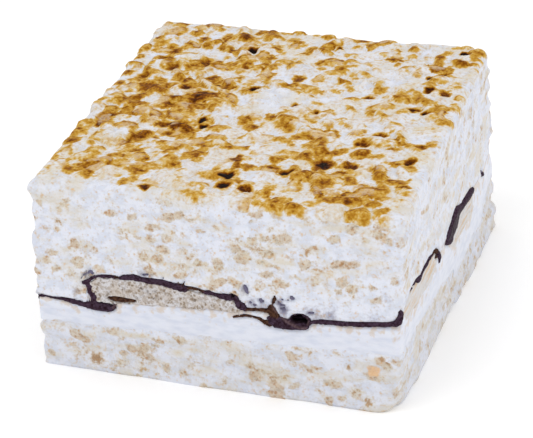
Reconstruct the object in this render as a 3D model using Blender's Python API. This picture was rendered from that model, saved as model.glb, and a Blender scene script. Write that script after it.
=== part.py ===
"""A s'mores crispy rice treat: a cut block, torch-toasted on top.

From the bottom up it is a crispy rice block, a smooth marshmallow layer, four pieces
of graham cracker, the chocolate that melted over them, and a second crispy rice block.
Metres, +Z up. The block rests on z = 0 with the middle of its bottom at the origin,
its front cut faces -Y and its right-hand cut faces +X.
"""

import math
import random

import bmesh
import bpy
from mathutils import Euler, Matrix, Vector, noise
from mathutils.bvhtree import BVHTree

MM = 0.001

WIDTH = 85.0 * MM
DEPTH = 90.0 * MM
HEIGHT = 48.0 * MM
GAP = 0.3 * MM

# The filling where a cut shows it: place along the cut, height of the marshmallow's
# top and thickness of the chocolate, in millimetres.
FRONT_CUT = (
    (-42.5, 17.9, 0.4),
    (-37.0, 17.5, 0.7),
    (-31.2, 16.2, 2.0),
    (-29.2, 15.9, 9.2),
    (-28.2, 19.8, 0.6),
    (-22.0, 19.9, 0.8),
    (-14.0, 19.7, 1.6),
    (-6.0, 20.1, 1.1),
    (1.0, 20.1, 0.9),
    (5.4, 20.4, 1.6),
    (7.0, 18.9, 2.8),
    (12.8, 18.3, 3.6),
    (14.4, 17.9, 5.6),
    (18.0, 17.3, 3.2),
    (22.8, 18.6, 2.4),
    (24.6, 19.9, 1.3),
    (33.0, 20.3, 1.5),
    (42.5, 21.6, 2.6),
)
RIGHT_CUT = (
    (-45.0, 21.6, 2.6),
    (-39.4, 18.6, 2.2),
    (-38.2, 15.8, 0.5),
    (-29.0, 16.4, 0.5),
    (-19.0, 15.3, 2.0),
    (-9.0, 14.6, 1.6),
    (-4.5, 13.6, 1.2),
    (-3.2, 13.2, 4.2),
    (1.8, 12.8, 0.5),
    (3.0, 10.0, 2.6),
    (11.0, 9.6, 5.0),
    (19.0, 11.2, 2.6),
    (30.0, 10.2, 2.2),
    (31.2, 13.4, 0.6),
    (38.0, 15.0, 0.5),
    (45.0, 17.0, 0.5),
)
COLUMNS = [station[0] * MM for station in FRONT_CUT]
ROWS = [station[0] * MM for station in RIGHT_CUT]

# The filling deep inside and at the two hidden cuts, which follow a slow wave.
INNER_SEAT = 17.4 * MM
INNER_CHOCOLATE = 1.1 * MM
HIDDEN_WAVE = 0.5 * MM
HIDDEN_WAVELENGTH = 34.0 * MM
CUT_REACH = 20.0 * MM
CUT_SOFTENING = 0.5 * MM

# Rice starts below this line, which climbs to the right; the marshmallow is never
# thinner than its least thickness.
RICE_LINE = 13.9 * MM
RICE_LINE_SLOPE = 0.031
MARSHMALLOW_LEAST = 1.6 * MM
CHOCOLATE_LEAST = 0.4 * MM

# Each cracker piece: first and last column, first and last row, thickness at its
# left and at its right edge in millimetres.
CRACKERS = {
    "graham_cracker_front": (4, 9, 0, 6, 4.9, 2.3),
    "graham_cracker_right": (15, 17, 2, 6, 4.3, 4.3),
    "graham_cracker_right_back": (12, 17, 9, 12, 4.3, 4.3),
    "graham_cracker_left_back": (0, 9, 9, 15, 4.6, 4.6),
}
TAPER_START = 0.4

# How far each corner of the cut block is out of square: left or right, front or back,
# bottom or top, and the shift in millimetres.
CORNER_SHIFTS = {
    (0, 0, 0): (-0.4, 0.3, 0.0),
    (1, 0, 0): (-0.6, -0.7, 0.0),
    (1, 1, 0): (1.3, 0.3, 0.0),
    (0, 1, 0): (0.0, 0.0, 0.0),
    (0, 0, 1): (0.4, -0.1, -0.5),
    (1, 0, 1): (0.8, 0.5, 0.5),
    (1, 1, 1): (-1.5, -0.3, -0.1),
    (0, 1, 1): (0.1, 0.0, 0.0),
}
CORNER_PULL = 0.8 * MM
FOOT_PULL = 0.7 * MM
WALL_WAVE = 0.35 * MM
WALL_WAVE_SCALE = 95.0
TOP_SKIN = 47.2 * MM
TOP_WAVE = 0.45 * MM
TOP_WAVE_SCALE = 70.0

# Extra rows of points up the walls, as shares of a block's height. The lowest one
# of the lower block ends its drawn-in foot.
LOWER_WALL_ROWS = (0.12, 0.5)
UPPER_WALL_ROWS = (0.33, 0.67)

# Puffed rice that stands out of the cuts, and blisters of the toasted top.
GRAIN_HALF = (3.1 * MM, 1.8 * MM, 1.4 * MM)
GRAIN_PROUD = 0.45 * MM
GRAIN_SPACING = 8.4 * MM
GRAIN_ROWS = 2
BLISTER_HALF = (4.3 * MM, 3.0 * MM, 1.7 * MM)
BLISTER_PROUD = 0.9 * MM
BLISTER_SPACING = 8.8 * MM
SIZE_SPREAD = 0.22
STAGGER = 0.25
JITTER_ALONG = 0.14
JITTER_ACROSS = 0.22
GRAIN_TURN = 0.5
BLISTER_TURN = 0.7
LEAN = 0.2
PROUD_LEAST = 0.7
PROUD_MOST = 1.15
STEEPEST_SEAT = 0.9
EDGE_MARGIN = 4.0 * MM
LAYER_MARGIN = 3.0 * MM
GRAIN_SIDES = 6
GRAIN_RINGS = 4
SEED = 11


def along(stations, place, column):
    """Read one column of a cut's stations at a place, straight between two of them."""
    at = place / MM
    for left, right in zip(stations, stations[1:]):
        if at <= right[0]:
            share = (at - left[0]) / (right[0] - left[0])
            return (left[column] + (right[column] - left[column]) * share) * MM
    return stations[-1][column] * MM


def hidden(base, place):
    """A value at a hidden cut: its base with a slow wave."""
    return base + HIDDEN_WAVE * math.sin(2.0 * math.pi * place / HIDDEN_WAVELENGTH)


def from_cuts(x, y, column, inside):
    """Blend a value from the four cuts, each counting most close to itself."""
    sides = (
        (y + DEPTH / 2, along(FRONT_CUT, x, column)),
        (WIDTH / 2 - x, along(RIGHT_CUT, y, column)),
        (DEPTH / 2 - y, hidden(inside, x)),
        (x + WIDTH / 2, hidden(inside, y)),
    )
    weight_sum = 1.0 / CUT_REACH ** 2
    value_sum = inside * weight_sum
    for distance, value in sides:
        weight = 1.0 / (distance + CUT_SOFTENING) ** 2
        weight_sum += weight
        value_sum += value * weight
    return value_sum / weight_sum


def cracker_thickness(i, j):
    """Thickness of the cracker over a grid point, or zero where there is none."""
    for first, last, front, back, at_left, at_right in CRACKERS.values():
        if first <= i <= last and front <= j <= back:
            share = (COLUMNS[i] - COLUMNS[first]) / (COLUMNS[last] - COLUMNS[first])
            share = max(0.0, share - TAPER_START) / (1.0 - TAPER_START)
            return (at_left + (at_right - at_left) * share) * MM
    return 0.0


def levels_at(i, j):
    """Heights of every surface in the stack over one grid point, bottom first."""
    x = COLUMNS[i]
    y = ROWS[j]
    seat = from_cuts(x, y, 1, INNER_SEAT)
    rice_line = min(RICE_LINE + RICE_LINE_SLOPE * x, seat - MARSHMALLOW_LEAST)
    cracker = cracker_thickness(i, j)
    chocolate_low = seat + GAP
    if cracker:
        chocolate_low += cracker + GAP
    chocolate = max(CHOCOLATE_LEAST, from_cuts(x, y, 2, INNER_CHOCOLATE))
    chocolate_high = chocolate_low + chocolate
    top = TOP_SKIN + TOP_WAVE * noise.noise(Vector((x, y, 0.0)) * TOP_WAVE_SCALE)
    return {
        "ground": 0.0,
        "rice_top": rice_line,
        "marshmallow_low": rice_line + GAP,
        "marshmallow_top": seat,
        "cracker_low": seat + GAP,
        "cracker_top": seat + GAP + cracker,
        "chocolate_low": chocolate_low,
        "chocolate_top": chocolate_high,
        "upper_low": chocolate_high + GAP,
        "top": top,
    }


LEVELS = {
    (i, j): levels_at(i, j)
    for i in range(len(COLUMNS))
    for j in range(len(ROWS))
}


def out_of_square(point):
    """Shift of a point as the block's eight corners are shifted."""
    u = point.x / WIDTH + 0.5
    v = point.y / DEPTH + 0.5
    w = min(1.0, point.z / HEIGHT)
    total = Vector((0.0, 0.0, 0.0))
    for (right, back, up), shift in CORNER_SHIFTS.items():
        share = (u if right else 1.0 - u) * (v if back else 1.0 - v) * (w if up else 1.0 - w)
        total += Vector(shift) * (share * MM)
    return total


def wall_wave(point, outward):
    """Slow unevenness of a cut, square to it."""
    return outward * (WALL_WAVE * noise.noise(point * WALL_WAVE_SCALE))


def place(i, j, z, foot=False):
    """Put a grid point at height z, with the block's corners, cuts and foot uneven."""
    point = Vector((COLUMNS[i], ROWS[j], z))
    outward = Vector((0.0, 0.0, 0.0))
    if i in (0, len(COLUMNS) - 1):
        outward.x = math.copysign(1.0, point.x)
    if j in (0, len(ROWS) - 1):
        outward.y = math.copysign(1.0, point.y)
    shift = wall_wave(point, outward)
    if outward.x and outward.y:
        shift -= outward * CORNER_PULL
    if foot:
        shift -= outward * FOOT_PULL
    return point + shift + out_of_square(point)


def finish(bm, name, color, roughness):
    """Turn a bmesh into a named object with its own material."""
    bmesh.ops.recalc_face_normals(bm, faces=bm.faces[:])
    mesh = bpy.data.meshes.new(name)
    bm.to_mesh(mesh)
    bm.free()
    material = bpy.data.materials.new(name + "_finish")
    material.use_nodes = True
    shader = material.node_tree.nodes["Principled BSDF"]
    shader.inputs["Base Color"].default_value = (*color, 1.0)
    shader.inputs["Roughness"].default_value = roughness
    shader.inputs["Metallic"].default_value = 0.0
    mesh.materials.append(material)
    body = bpy.data.objects.new(name, mesh)
    bpy.context.scene.collection.objects.link(body)
    return body


def slab(low, high, span=None, wall_cuts=()):
    """A closed slab between two named surfaces, over all or a part of the grid."""
    first, last, front, back = span or (0, len(COLUMNS) - 1, 0, len(ROWS) - 1)
    bm = bmesh.new()
    bmesh.ops.create_grid(bm, x_segments=last - first, y_segments=back - front, size=0.5)
    bmesh.ops.scale(bm, vec=(last - first, back - front, 1.0), verts=bm.verts)
    bmesh.ops.translate(
        bm, vec=((first + last) / 2, (front + back) / 2, 0.0), verts=bm.verts
    )
    bmesh.ops.triangulate(bm, faces=bm.faces[:], quad_method="FIXED")
    raised = bmesh.ops.extrude_face_region(bm, geom=bm.faces[:], use_keep_orig=True)
    lifted = [item for item in raised["geom"] if isinstance(item, bmesh.types.BMVert)]
    bmesh.ops.translate(bm, vec=(0.0, 0.0, 1.0), verts=lifted)
    for cut in wall_cuts:
        bmesh.ops.bisect_plane(
            bm, geom=bm.verts[:] + bm.edges[:] + bm.faces[:],
            plane_co=(0.0, 0.0, cut), plane_no=(0.0, 0.0, 1.0),
        )
    for vert in bm.verts:
        i = round(vert.co.x)
        j = round(vert.co.y)
        level = LEVELS[(i, j)]
        height = level[low] + (level[high] - level[low]) * vert.co.z
        on_ground = low == "ground" and vert.co.z < LOWER_WALL_ROWS[0] / 2
        spot = place(i, j, height, foot=on_ground)
        if span:
            spot.x += GAP * ((i == first and first > 0) - (i == last and last < len(COLUMNS) - 1))
            spot.y += GAP * ((j == front and front > 0) - (j == back and back < len(ROWS) - 1))
        vert.co = spot
    return bm


def make_marshmallow():
    """The smooth marshmallow layer that the filling sits on."""
    bm = slab("marshmallow_low", "marshmallow_top")
    return finish(bm, "marshmallow_layer", (0.80, 0.81, 0.86), 0.45)


def make_chocolate():
    """The melted chocolate, one sheet over crackers and marshmallow."""
    bm = slab("chocolate_low", "chocolate_top")
    return finish(bm, "chocolate_layer", (0.035, 0.018, 0.020), 0.32)


def make_crackers():
    """The pieces of graham cracker under the chocolate."""
    for name, (first, last, front, back, _, _) in CRACKERS.items():
        bm = slab("cracker_low", "cracker_top", (first, last, front, back))
        finish(bm, name, (0.62, 0.50, 0.33), 0.85)


def scatter(across, rows, rng):
    """Places on a unit square in uneven, staggered rows."""
    spots = []
    for row in range(rows):
        for step in range(across):
            stagger = STAGGER if row % 2 else -STAGGER
            u = (step + 0.5 + stagger + rng.uniform(-JITTER_ALONG, JITTER_ALONG)) / across
            v = (row + 0.5 + rng.uniform(-JITTER_ACROSS, JITTER_ACROSS)) / rows
            spots.append((u, v))
    return spots


def grain(name, half, seat, normal, turn, proud, rng, collection):
    """One puffed grain or blister, sunk so that it stands a little out of its seat."""
    bm = bmesh.new()
    bmesh.ops.create_uvsphere(bm, u_segments=GRAIN_SIDES, v_segments=GRAIN_RINGS, radius=1.0)
    size = [side * rng.uniform(1.0 - SIZE_SPREAD, 1.0 + SIZE_SPREAD) for side in half]
    bmesh.ops.scale(bm, vec=size, verts=bm.verts)
    facing = normal.to_track_quat("Z", "Y").to_matrix().to_4x4()
    lean = Euler((rng.uniform(-LEAN, LEAN), rng.uniform(-LEAN, LEAN), turn))
    centre = seat - normal * (size[2] - proud * rng.uniform(PROUD_LEAST, PROUD_MOST))
    pose = Matrix.Translation(centre) @ facing @ lean.to_matrix().to_4x4()
    bmesh.ops.transform(bm, matrix=pose, verts=bm.verts)
    mesh = bpy.data.meshes.new(name)
    bm.to_mesh(mesh)
    bm.free()
    collection.objects.link(bpy.data.objects.new(name, mesh))


def nearest(lines, place):
    """Index of the grid line nearest to a place."""
    return min(range(len(lines)), key=lambda index: abs(lines[index] - place))


def grain_walls(surface, low, high, collection, rng):
    """Grains on the four cuts of one block, between two named surfaces."""
    walls = (
        (Vector((0.0, -1.0, 0.0)), WIDTH),
        (Vector((1.0, 0.0, 0.0)), DEPTH),
        (Vector((0.0, 1.0, 0.0)), WIDTH),
        (Vector((-1.0, 0.0, 0.0)), DEPTH),
    )
    for outward, length in walls:
        sideways = Vector((-outward.y, outward.x, 0.0))
        span = length - 2 * EDGE_MARGIN
        for u, v in scatter(round(span / GRAIN_SPACING), GRAIN_ROWS, rng):
            start = sideways * (span * (u - 0.5)) + outward * DEPTH
            level = LEVELS[(nearest(COLUMNS, start.x), nearest(ROWS, start.y))]
            floor = level[low] + LAYER_MARGIN
            start.z = floor + (level[high] - LAYER_MARGIN - floor) * v
            seat, normal, _, _ = surface.ray_cast(start, -outward)
            turn = rng.uniform(-GRAIN_TURN, GRAIN_TURN) + math.pi / 2 * (outward.x == 0.0)
            if seat is None or normal.dot(outward) < STEEPEST_SEAT:
                continue
            grain("grain", GRAIN_HALF, seat, normal, turn, GRAIN_PROUD, rng, collection)


def blister_top(surface, collection, rng):
    """Blisters all over the toasted top."""
    span_x = WIDTH - 2 * EDGE_MARGIN
    span_y = DEPTH - 2 * EDGE_MARGIN
    across = round(span_x / BLISTER_SPACING)
    rows = round(span_y / BLISTER_SPACING)
    for u, v in scatter(across, rows, rng):
        above = Vector((span_x * (u - 0.5), span_y * (v - 0.5), 2 * HEIGHT))
        seat, normal, _, _ = surface.ray_cast(above, Vector((0.0, 0.0, -1.0)))
        turn = rng.uniform(-BLISTER_TURN, BLISTER_TURN)
        grain("blister", BLISTER_HALF, seat, normal, turn, BLISTER_PROUD, rng, collection)


def fuse(core, collection):
    """Join all of a collection's pieces to a core, then remove them."""
    union = core.modifiers.new("grains", "BOOLEAN")
    union.operation = "UNION"
    union.operand_type = "COLLECTION"
    union.collection = collection
    union.solver = "EXACT"
    bpy.context.view_layer.update()
    bpy.context.view_layer.objects.active = core
    bpy.ops.object.modifier_apply(modifier=union.name)
    for piece in list(collection.objects):
        bpy.data.objects.remove(piece)
    bpy.data.collections.remove(collection)


def crispy_block(name, low, high, wall_cuts, blistered):
    """A block of puffed rice in marshmallow, with the grains that show fused on."""
    bm = slab(low, high, wall_cuts=wall_cuts)
    if low == "ground":
        floor = [face for face in bm.faces if max(abs(v.co.z) for v in face.verts) < 1e-7]
        bmesh.ops.dissolve_faces(bm, faces=floor)
    bmesh.ops.recalc_face_normals(bm, faces=bm.faces[:])
    surface = BVHTree.FromBMesh(bm)
    core = finish(bm, name, (0.78, 0.74, 0.66), 0.60)
    pieces = bpy.data.collections.new(name + "_grains")
    bpy.context.scene.collection.children.link(pieces)
    rng = random.Random(SEED + blistered)
    grain_walls(surface, low, high, pieces, rng)
    if blistered:
        blister_top(surface, pieces, rng)
    fuse(core, pieces)


def main():
    """Build the whole treat in an empty scene."""
    for old in list(bpy.data.objects):
        bpy.data.objects.remove(old)
    crispy_block("lower_crispy_block", "ground", "rice_top", LOWER_WALL_ROWS, False)
    make_marshmallow()
    make_crackers()
    make_chocolate()
    crispy_block("upper_crispy_block", "upper_low", "top", UPPER_WALL_ROWS, True)


main()
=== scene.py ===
import math

import bmesh
import bpy
import numpy as np
from mathutils import Matrix, Vector
from mathutils.bvhtree import BVHTree


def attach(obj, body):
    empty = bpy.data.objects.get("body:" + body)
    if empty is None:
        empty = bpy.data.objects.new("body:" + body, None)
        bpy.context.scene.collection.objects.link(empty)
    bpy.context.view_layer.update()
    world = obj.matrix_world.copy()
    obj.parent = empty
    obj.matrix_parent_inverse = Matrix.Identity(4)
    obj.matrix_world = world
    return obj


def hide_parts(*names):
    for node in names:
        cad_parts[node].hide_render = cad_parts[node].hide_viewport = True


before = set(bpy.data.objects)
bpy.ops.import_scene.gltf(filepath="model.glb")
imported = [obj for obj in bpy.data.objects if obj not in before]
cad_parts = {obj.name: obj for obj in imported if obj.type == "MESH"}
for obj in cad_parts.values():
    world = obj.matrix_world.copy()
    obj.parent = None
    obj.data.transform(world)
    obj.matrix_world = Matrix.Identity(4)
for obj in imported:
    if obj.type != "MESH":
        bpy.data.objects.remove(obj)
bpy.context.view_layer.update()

bl_info = {
    "name": "S'mores crispy rice treat",
    "version": (1, 0, 0),
    "blender": (4, 5, 0),
    "location": "3D View > Sidebar > Treat",
    "description": "Builds a torch-toasted s'mores crispy rice treat piece by piece",
    "category": "Add Mesh",
}

MM = 0.001
WIDTH = 85.0 * MM
DEPTH = 90.0 * MM
HEIGHT = 48.0 * MM

# How far each corner of the cut block is out of square: left or right, front or back,
# bottom or top, and the shift in millimetres.
CORNER_SHIFTS = {
    (0, 0, 0): (-0.4, 0.3, 0.0),
    (1, 0, 0): (-0.6, -0.7, 0.0),
    (1, 1, 0): (1.3, 0.3, 0.0),
    (0, 1, 0): (0.0, 0.0, 0.0),
    (0, 0, 1): (0.4, -0.1, -0.5),
    (1, 0, 1): (0.8, 0.5, 0.5),
    (1, 1, 1): (-1.5, -0.3, -0.1),
    (0, 1, 1): (0.1, 0.0, 0.0),
}
# Height of the top's skin, and the rounding of the block's upright corners.
TOP_SKIN = 47.8 * MM
PLAN_RADIUS = 0.8 * MM
# How far inside the cuts the rings of a hidden cap lie.
CAP_RINGS = (0.5 * MM, 1.5 * MM, 4.0 * MM, 9.0 * MM)
# How far apart the two hidden caps of a thin layer lie.
CAP_GAP = 1.0 * MM
# Edges that turn more than this are shaded sharp.
SHARP_ANGLE = math.radians(75)
# How many cells the lattice of a noise has each way, and how far it is moved off the origin.
NOISE_SIDE = 40
NOISE_SHIFT = 7.3
# How far apart the puffed grains lie and half their size, in millimetres.
GRAIN_PITCH = (3.7, 3.7, 2.6)
GRAIN_HALF = (2.5, 1.5, 1.2)

# Where the block is worn or pressed out of shape: a point, how far round it that
# reaches, and the shift there, all in millimetres.
DENTS = (
    ((43.0, -45.5, 0.0), 3.4, (-1.6, 1.7, 1.4)),
    ((31.0, 44.0, 48.0), 9.0, (0.0, 0.3, 0.8)),
    ((42.5, 45.5, 22.3), 2.2, (-1.5, -0.5, 0.0)),
    ((43.5, 45.0, 8.0), 11.0, (-0.7, -0.2, 0.0)),
)

# Places along the cuts are measured round the block from the middle of the front: the
# front runs from -42.5 to 42.5 mm, the right-hand cut from there to 132.5 mm.
# Where upper and lower part meet behind the chocolate: place and height in millimetres.
SEAM = (
    (-41.7, 18.7), (-34.1, 18.2), (-30.9, 19.0), (-29.6, 24.3), (-27.8, 25.8), (-20.1, 26.3),
    (-12.4, 26.3), (-8.4, 25.5), (-0.6, 24.8), (3.9, 24.3), (5.9, 22.7), (11.3, 21.9),
    (14.3, 21.8), (19.4, 21.1), (23.4, 21.3), (30.5, 21.6), (37.6, 22.5), (41.5, 23.1),
    (42.8, 24.4), (43.8, 24.6), (48.2, 26.5), (51.7, 27.2), (58.4, 25.4), (67.1, 25.7),
    (71.5, 25.1), (74.4, 24.2), (77.0, 21.0), (83.5, 22.4), (89.7, 22.1), (96.6, 23.0),
    (111.1, 21.2), (120.1, 20.6), (127.7, 22.0),
)
# Top of the marshmallow under the crackers that show.
CRACKER_SEATS = {
    "graham_cracker_front": (
        (-29.7, 19.1), (-28.4, 19.2), (-25.9, 19.3), (-21.1, 19.9), (-16.2, 20.3),
        (-6.1, 20.9), (6.0, 21.6),
    ),
    "graham_cracker_right": (
        (44.6, 24.6), (46.2, 22.8), (48.6, 21.4), (52.2, 21.4), (56.5, 20.5), (61.2, 20.5),
        (66.0, 19.6), (70.5, 19.5), (73.2, 20.0), (75.0, 22.4),
    ),
    "graham_cracker_right_back": (
        (86.4, 21.0), (87.6, 18.6), (90.0, 16.7), (92.4, 15.9), (96.0, 16.5), (98.6, 16.0),
        (103.0, 16.3), (106.0, 15.9), (108.4, 17.4), (109.8, 20.2),
    ),
}

# Strokes of chocolate on the front and right-hand cuts: place along the cut, height
# and half thickness in millimetres.
CHOCOLATE_STROKES = (
    ((-42.5, 18.7, 0.25), (-39.3, 18.4, 0.22), (-36.9, 18.5, 0.30), (-34.0, 18.2, 0.50),
     (-32.5, 17.9, 0.50), (-31.1, 17.8, 0.69), (-29.8, 17.8, 0.99), (-28.3, 17.8, 1.19),
     (-26.0, 17.6, 1.11), (-25.0, 17.7, 0.94), (-24.5, 18.0, 0.74)),
    ((-24.3, 18.2, 0.50), (-24.0, 18.9, 0.35), (-24.5, 19.5, 0.30), (-25.5, 20.2, 0.30)),
    ((-31.3, 23.7, 0.45), (-30.4, 23.7, 0.80), (-29.9, 22.9, 0.84), (-29.8, 21.7, 0.84),
     (-29.3, 20.9, 0.94), (-29.1, 20.1, 0.94), (-29.0, 19.0, 1.04)),
    ((-30.6, 24.2, 0.45), (-29.5, 24.9, 0.40), (-28.2, 25.6, 0.32), (-26.9, 25.9, 0.26),
     (-25.4, 26.0, 0.28), (-24.1, 26.0, 0.26), (-23.3, 25.9, 0.20)),
    ((-22.3, 25.9, 0.32), (-21.3, 26.2, 0.60), (-19.0, 26.6, 0.85), (-16.7, 26.3, 0.65),
     (-15.0, 26.2, 0.70), (-12.0, 26.2, 0.80), (-9.2, 25.7, 0.90), (-7.8, 25.5, 1.00),
     (-6.9, 25.4, 0.80), (-5.9, 25.6, 0.30)),
    ((-2.5, 25.1, 0.30), (-1.2, 25.0, 0.60), (0.1, 24.8, 0.42), (1.6, 24.5, 0.70),
     (2.8, 24.5, 0.80), (4.0, 24.6, 0.70), (4.9, 24.8, 0.65), (5.2, 24.1, 0.60),
     (5.8, 22.9, 0.99), (6.5, 22.7, 0.94), (7.2, 22.1, 0.60)),
    ((13.2, 19.4, 0.60), (14.4, 19.4, 1.19), (16.2, 19.6, 1.54), (18.1, 19.5, 1.34),
     (19.8, 19.3, 0.79), (21.5, 19.4, 0.55)),
    ((12.8, 20.5, 0.50), (14.4, 20.7, 0.79), (16.0, 20.6, 0.79), (17.3, 20.1, 0.60)),
    ((17.9, 21.1, 0.30), (18.6, 22.0, 0.32), (20.1, 22.4, 0.30), (21.4, 22.1, 0.36),
     (22.1, 21.3, 0.46), (22.0, 20.3, 0.42), (21.6, 19.7, 0.40)),
    ((22.2, 20.5, 0.45), (23.3, 21.0, 0.52), (24.7, 21.3, 0.60), (27.4, 21.5, 0.55),
     (30.5, 21.6, 0.60), (33.7, 22.0, 0.70), (37.6, 22.5, 0.55), (40.0, 22.7, 0.65),
     (41.4, 23.1, 0.80), (42.4, 23.5, 0.95), (43.0, 24.3, 1.05), (43.2, 25.2, 0.85),
     (43.1, 25.9, 0.40)),
    ((49.8, 27.2, 0.14), (52.5, 27.3, 0.25), (54.8, 27.2, 0.45), (56.5, 26.4, 0.85),
     (58.4, 25.5, 0.91), (60.5, 26.1, 0.45), (62.9, 26.0, 0.60), (67.2, 25.9, 0.50),
     (69.9, 25.2, 0.30)),
    ((74.9, 23.6, 0.50), (76.5, 22.1, 0.80), (77.2, 20.9, 0.80), (76.9, 19.9, 0.45)),
    ((84.6, 20.9, 0.90), (87.2, 19.9, 1.10), (88.8, 19.4, 0.90)),
    ((82.6, 21.4, 0.60), (84.6, 21.7, 1.40), (87.0, 21.8, 1.97), (89.7, 22.1, 2.59),
     (92.0, 22.2, 2.69), (93.8, 23.0, 2.16), (96.6, 23.0, 1.13), (99.1, 22.3, 1.03),
     (103.4, 22.1, 1.19), (107.8, 21.7, 1.19), (110.6, 21.1, 0.83)),
    ((120.0, 20.6, 0.52), (121.1, 20.2, 0.63)),
)
# Thinner chocolate that shows brown, and the hollows beside it, brown with painted shade, as in the
# gap under the front cracker.
BROWN_AND_SHADE_STROKES = (
    ((-25.1, 20.3, 0.40), (-24.0, 20.3, 0.60), (-23.0, 20.3, 0.62), (-21.9, 20.3, 0.55),
     (-20.3, 20.4, 0.42), (-19.0, 20.5, 0.20)),
    ((-23.6, 26.0, 0.30), (-22.9, 25.9, 0.16)),
    ((-7.8, 26.1, 0.22), (-8.3, 27.0, 0.10)),
    ((-7.3, 26.3, 0.24), (-6.7, 27.4, 0.12)),
    ((-6.1, 25.6, 0.40), (-5.2, 25.7, 0.36), (-3.6, 25.5, 0.22), (-2.2, 25.1, 0.34)),
    ((6.8, 22.2, 0.48), (7.9, 22.1, 0.38), (9.7, 22.3, 0.36), (11.5, 22.4, 0.42),
     (12.5, 22.3, 0.50)),
    ((13.5, 24.0, 0.20), (13.4, 23.3, 0.70), (13.4, 22.5, 1.09), (13.9, 21.8, 1.09),
     (14.7, 21.2, 0.70)),
    ((13.8, 24.5, 0.22), (14.0, 25.2, 0.38), (14.3, 25.8, 0.36), (14.3, 26.4, 0.18)),
    ((4.6, 19.8, 0.22), (6.0, 20.1, 0.38), (7.6, 20.5, 0.28), (9.1, 20.3, 0.26),
     (10.6, 20.0, 0.34), (11.7, 19.4, 0.50), (12.9, 18.9, 0.69)),
    ((69.9, 25.2, 0.32), (71.8, 25.1, 0.45), (73.4, 24.6, 0.60), (74.9, 23.6, 0.60)),
    ((72.6, 23.4, 0.35), (74.4, 22.4, 0.45)),
)
# Chocolate veiled by marshmallow, and bubbles with chocolate behind them.
VEILED_STROKES = (
    ((-31.8, 24.7, 0.16), (-31.3, 25.6, 0.16), (-30.3, 26.3, 0.20), (-29.3, 26.9, 0.30),
     (-28.9, 26.4, 0.30)),
    ((7.4, 27.9, 0.45), (7.7, 27.1, 0.58), (7.9, 26.6, 0.50)),
    ((11.0, 24.9, 0.40), (11.2, 24.7, 0.40)), ((9.4, 23.5, 0.20), (9.6, 23.3, 0.20)),
    ((8.4, 24.0, 0.16), (8.6, 23.8, 0.16)), ((18.2, 26.6, 0.45), (18.4, 26.4, 0.42)),
    ((15.9, 25.9, 0.24), (16.1, 25.8, 0.24)), ((15.2, 24.9, 0.24), (15.4, 24.7, 0.22)),
    ((17.1, 25.9, 0.16), (17.3, 25.9, 0.16)), ((15.5, 24.4, 0.18), (16.5, 24.3, 0.20)),
    ((15.7, 23.4, 0.24), (16.4, 23.4, 0.34)), ((22.0, 23.2, 0.16), (23.0, 23.4, 0.32)),
    ((-11.9, 27.4, 0.20), (-11.7, 27.6, 0.16)), ((-16.8, 27.7, 0.18), (-15.5, 27.9, 0.22)),
    ((118.7, 22.3, 0.21), (119.4, 21.6, 0.31)),
)
# Hollows in the chocolate, black inside with painted shade, in the same measures.
CHOCOLATE_HOLLOWS = (
    ((-27.5, 19.3, 0.50), (-26.5, 19.7, 0.55), (-25.6, 19.8, 0.55), (-25.0, 19.4, 0.50),
     (-24.8, 18.8, 0.30)),
    ((18.9, 21.2, 0.82), (20.1, 21.4, 1.08), (21.0, 21.2, 0.86)),
    ((4.4, 25.1, 0.26), (4.6, 25.1, 0.26)),
)
# Glossy folds that stand out of the chocolate, with a painted highlight along them.
CHOCOLATE_FOLDS = (
    ((13.8, 24.2, 0.14), (14.2, 23.3, 0.16), (14.9, 22.4, 0.16), (15.6, 22.0, 0.18),
     (16.0, 21.3, 0.20), (16.9, 20.7, 0.20), (18.3, 20.1, 0.20), (19.3, 19.6, 0.20),
     (20.4, 19.3, 0.20), (21.5, 19.5, 0.20)),
    ((21.6, 21.8, 0.16), (22.0, 21.1, 0.18), (21.9, 20.4, 0.16)),
    ((-24.2, 18.1, 0.20), (-23.9, 18.9, 0.16)),
)

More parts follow.
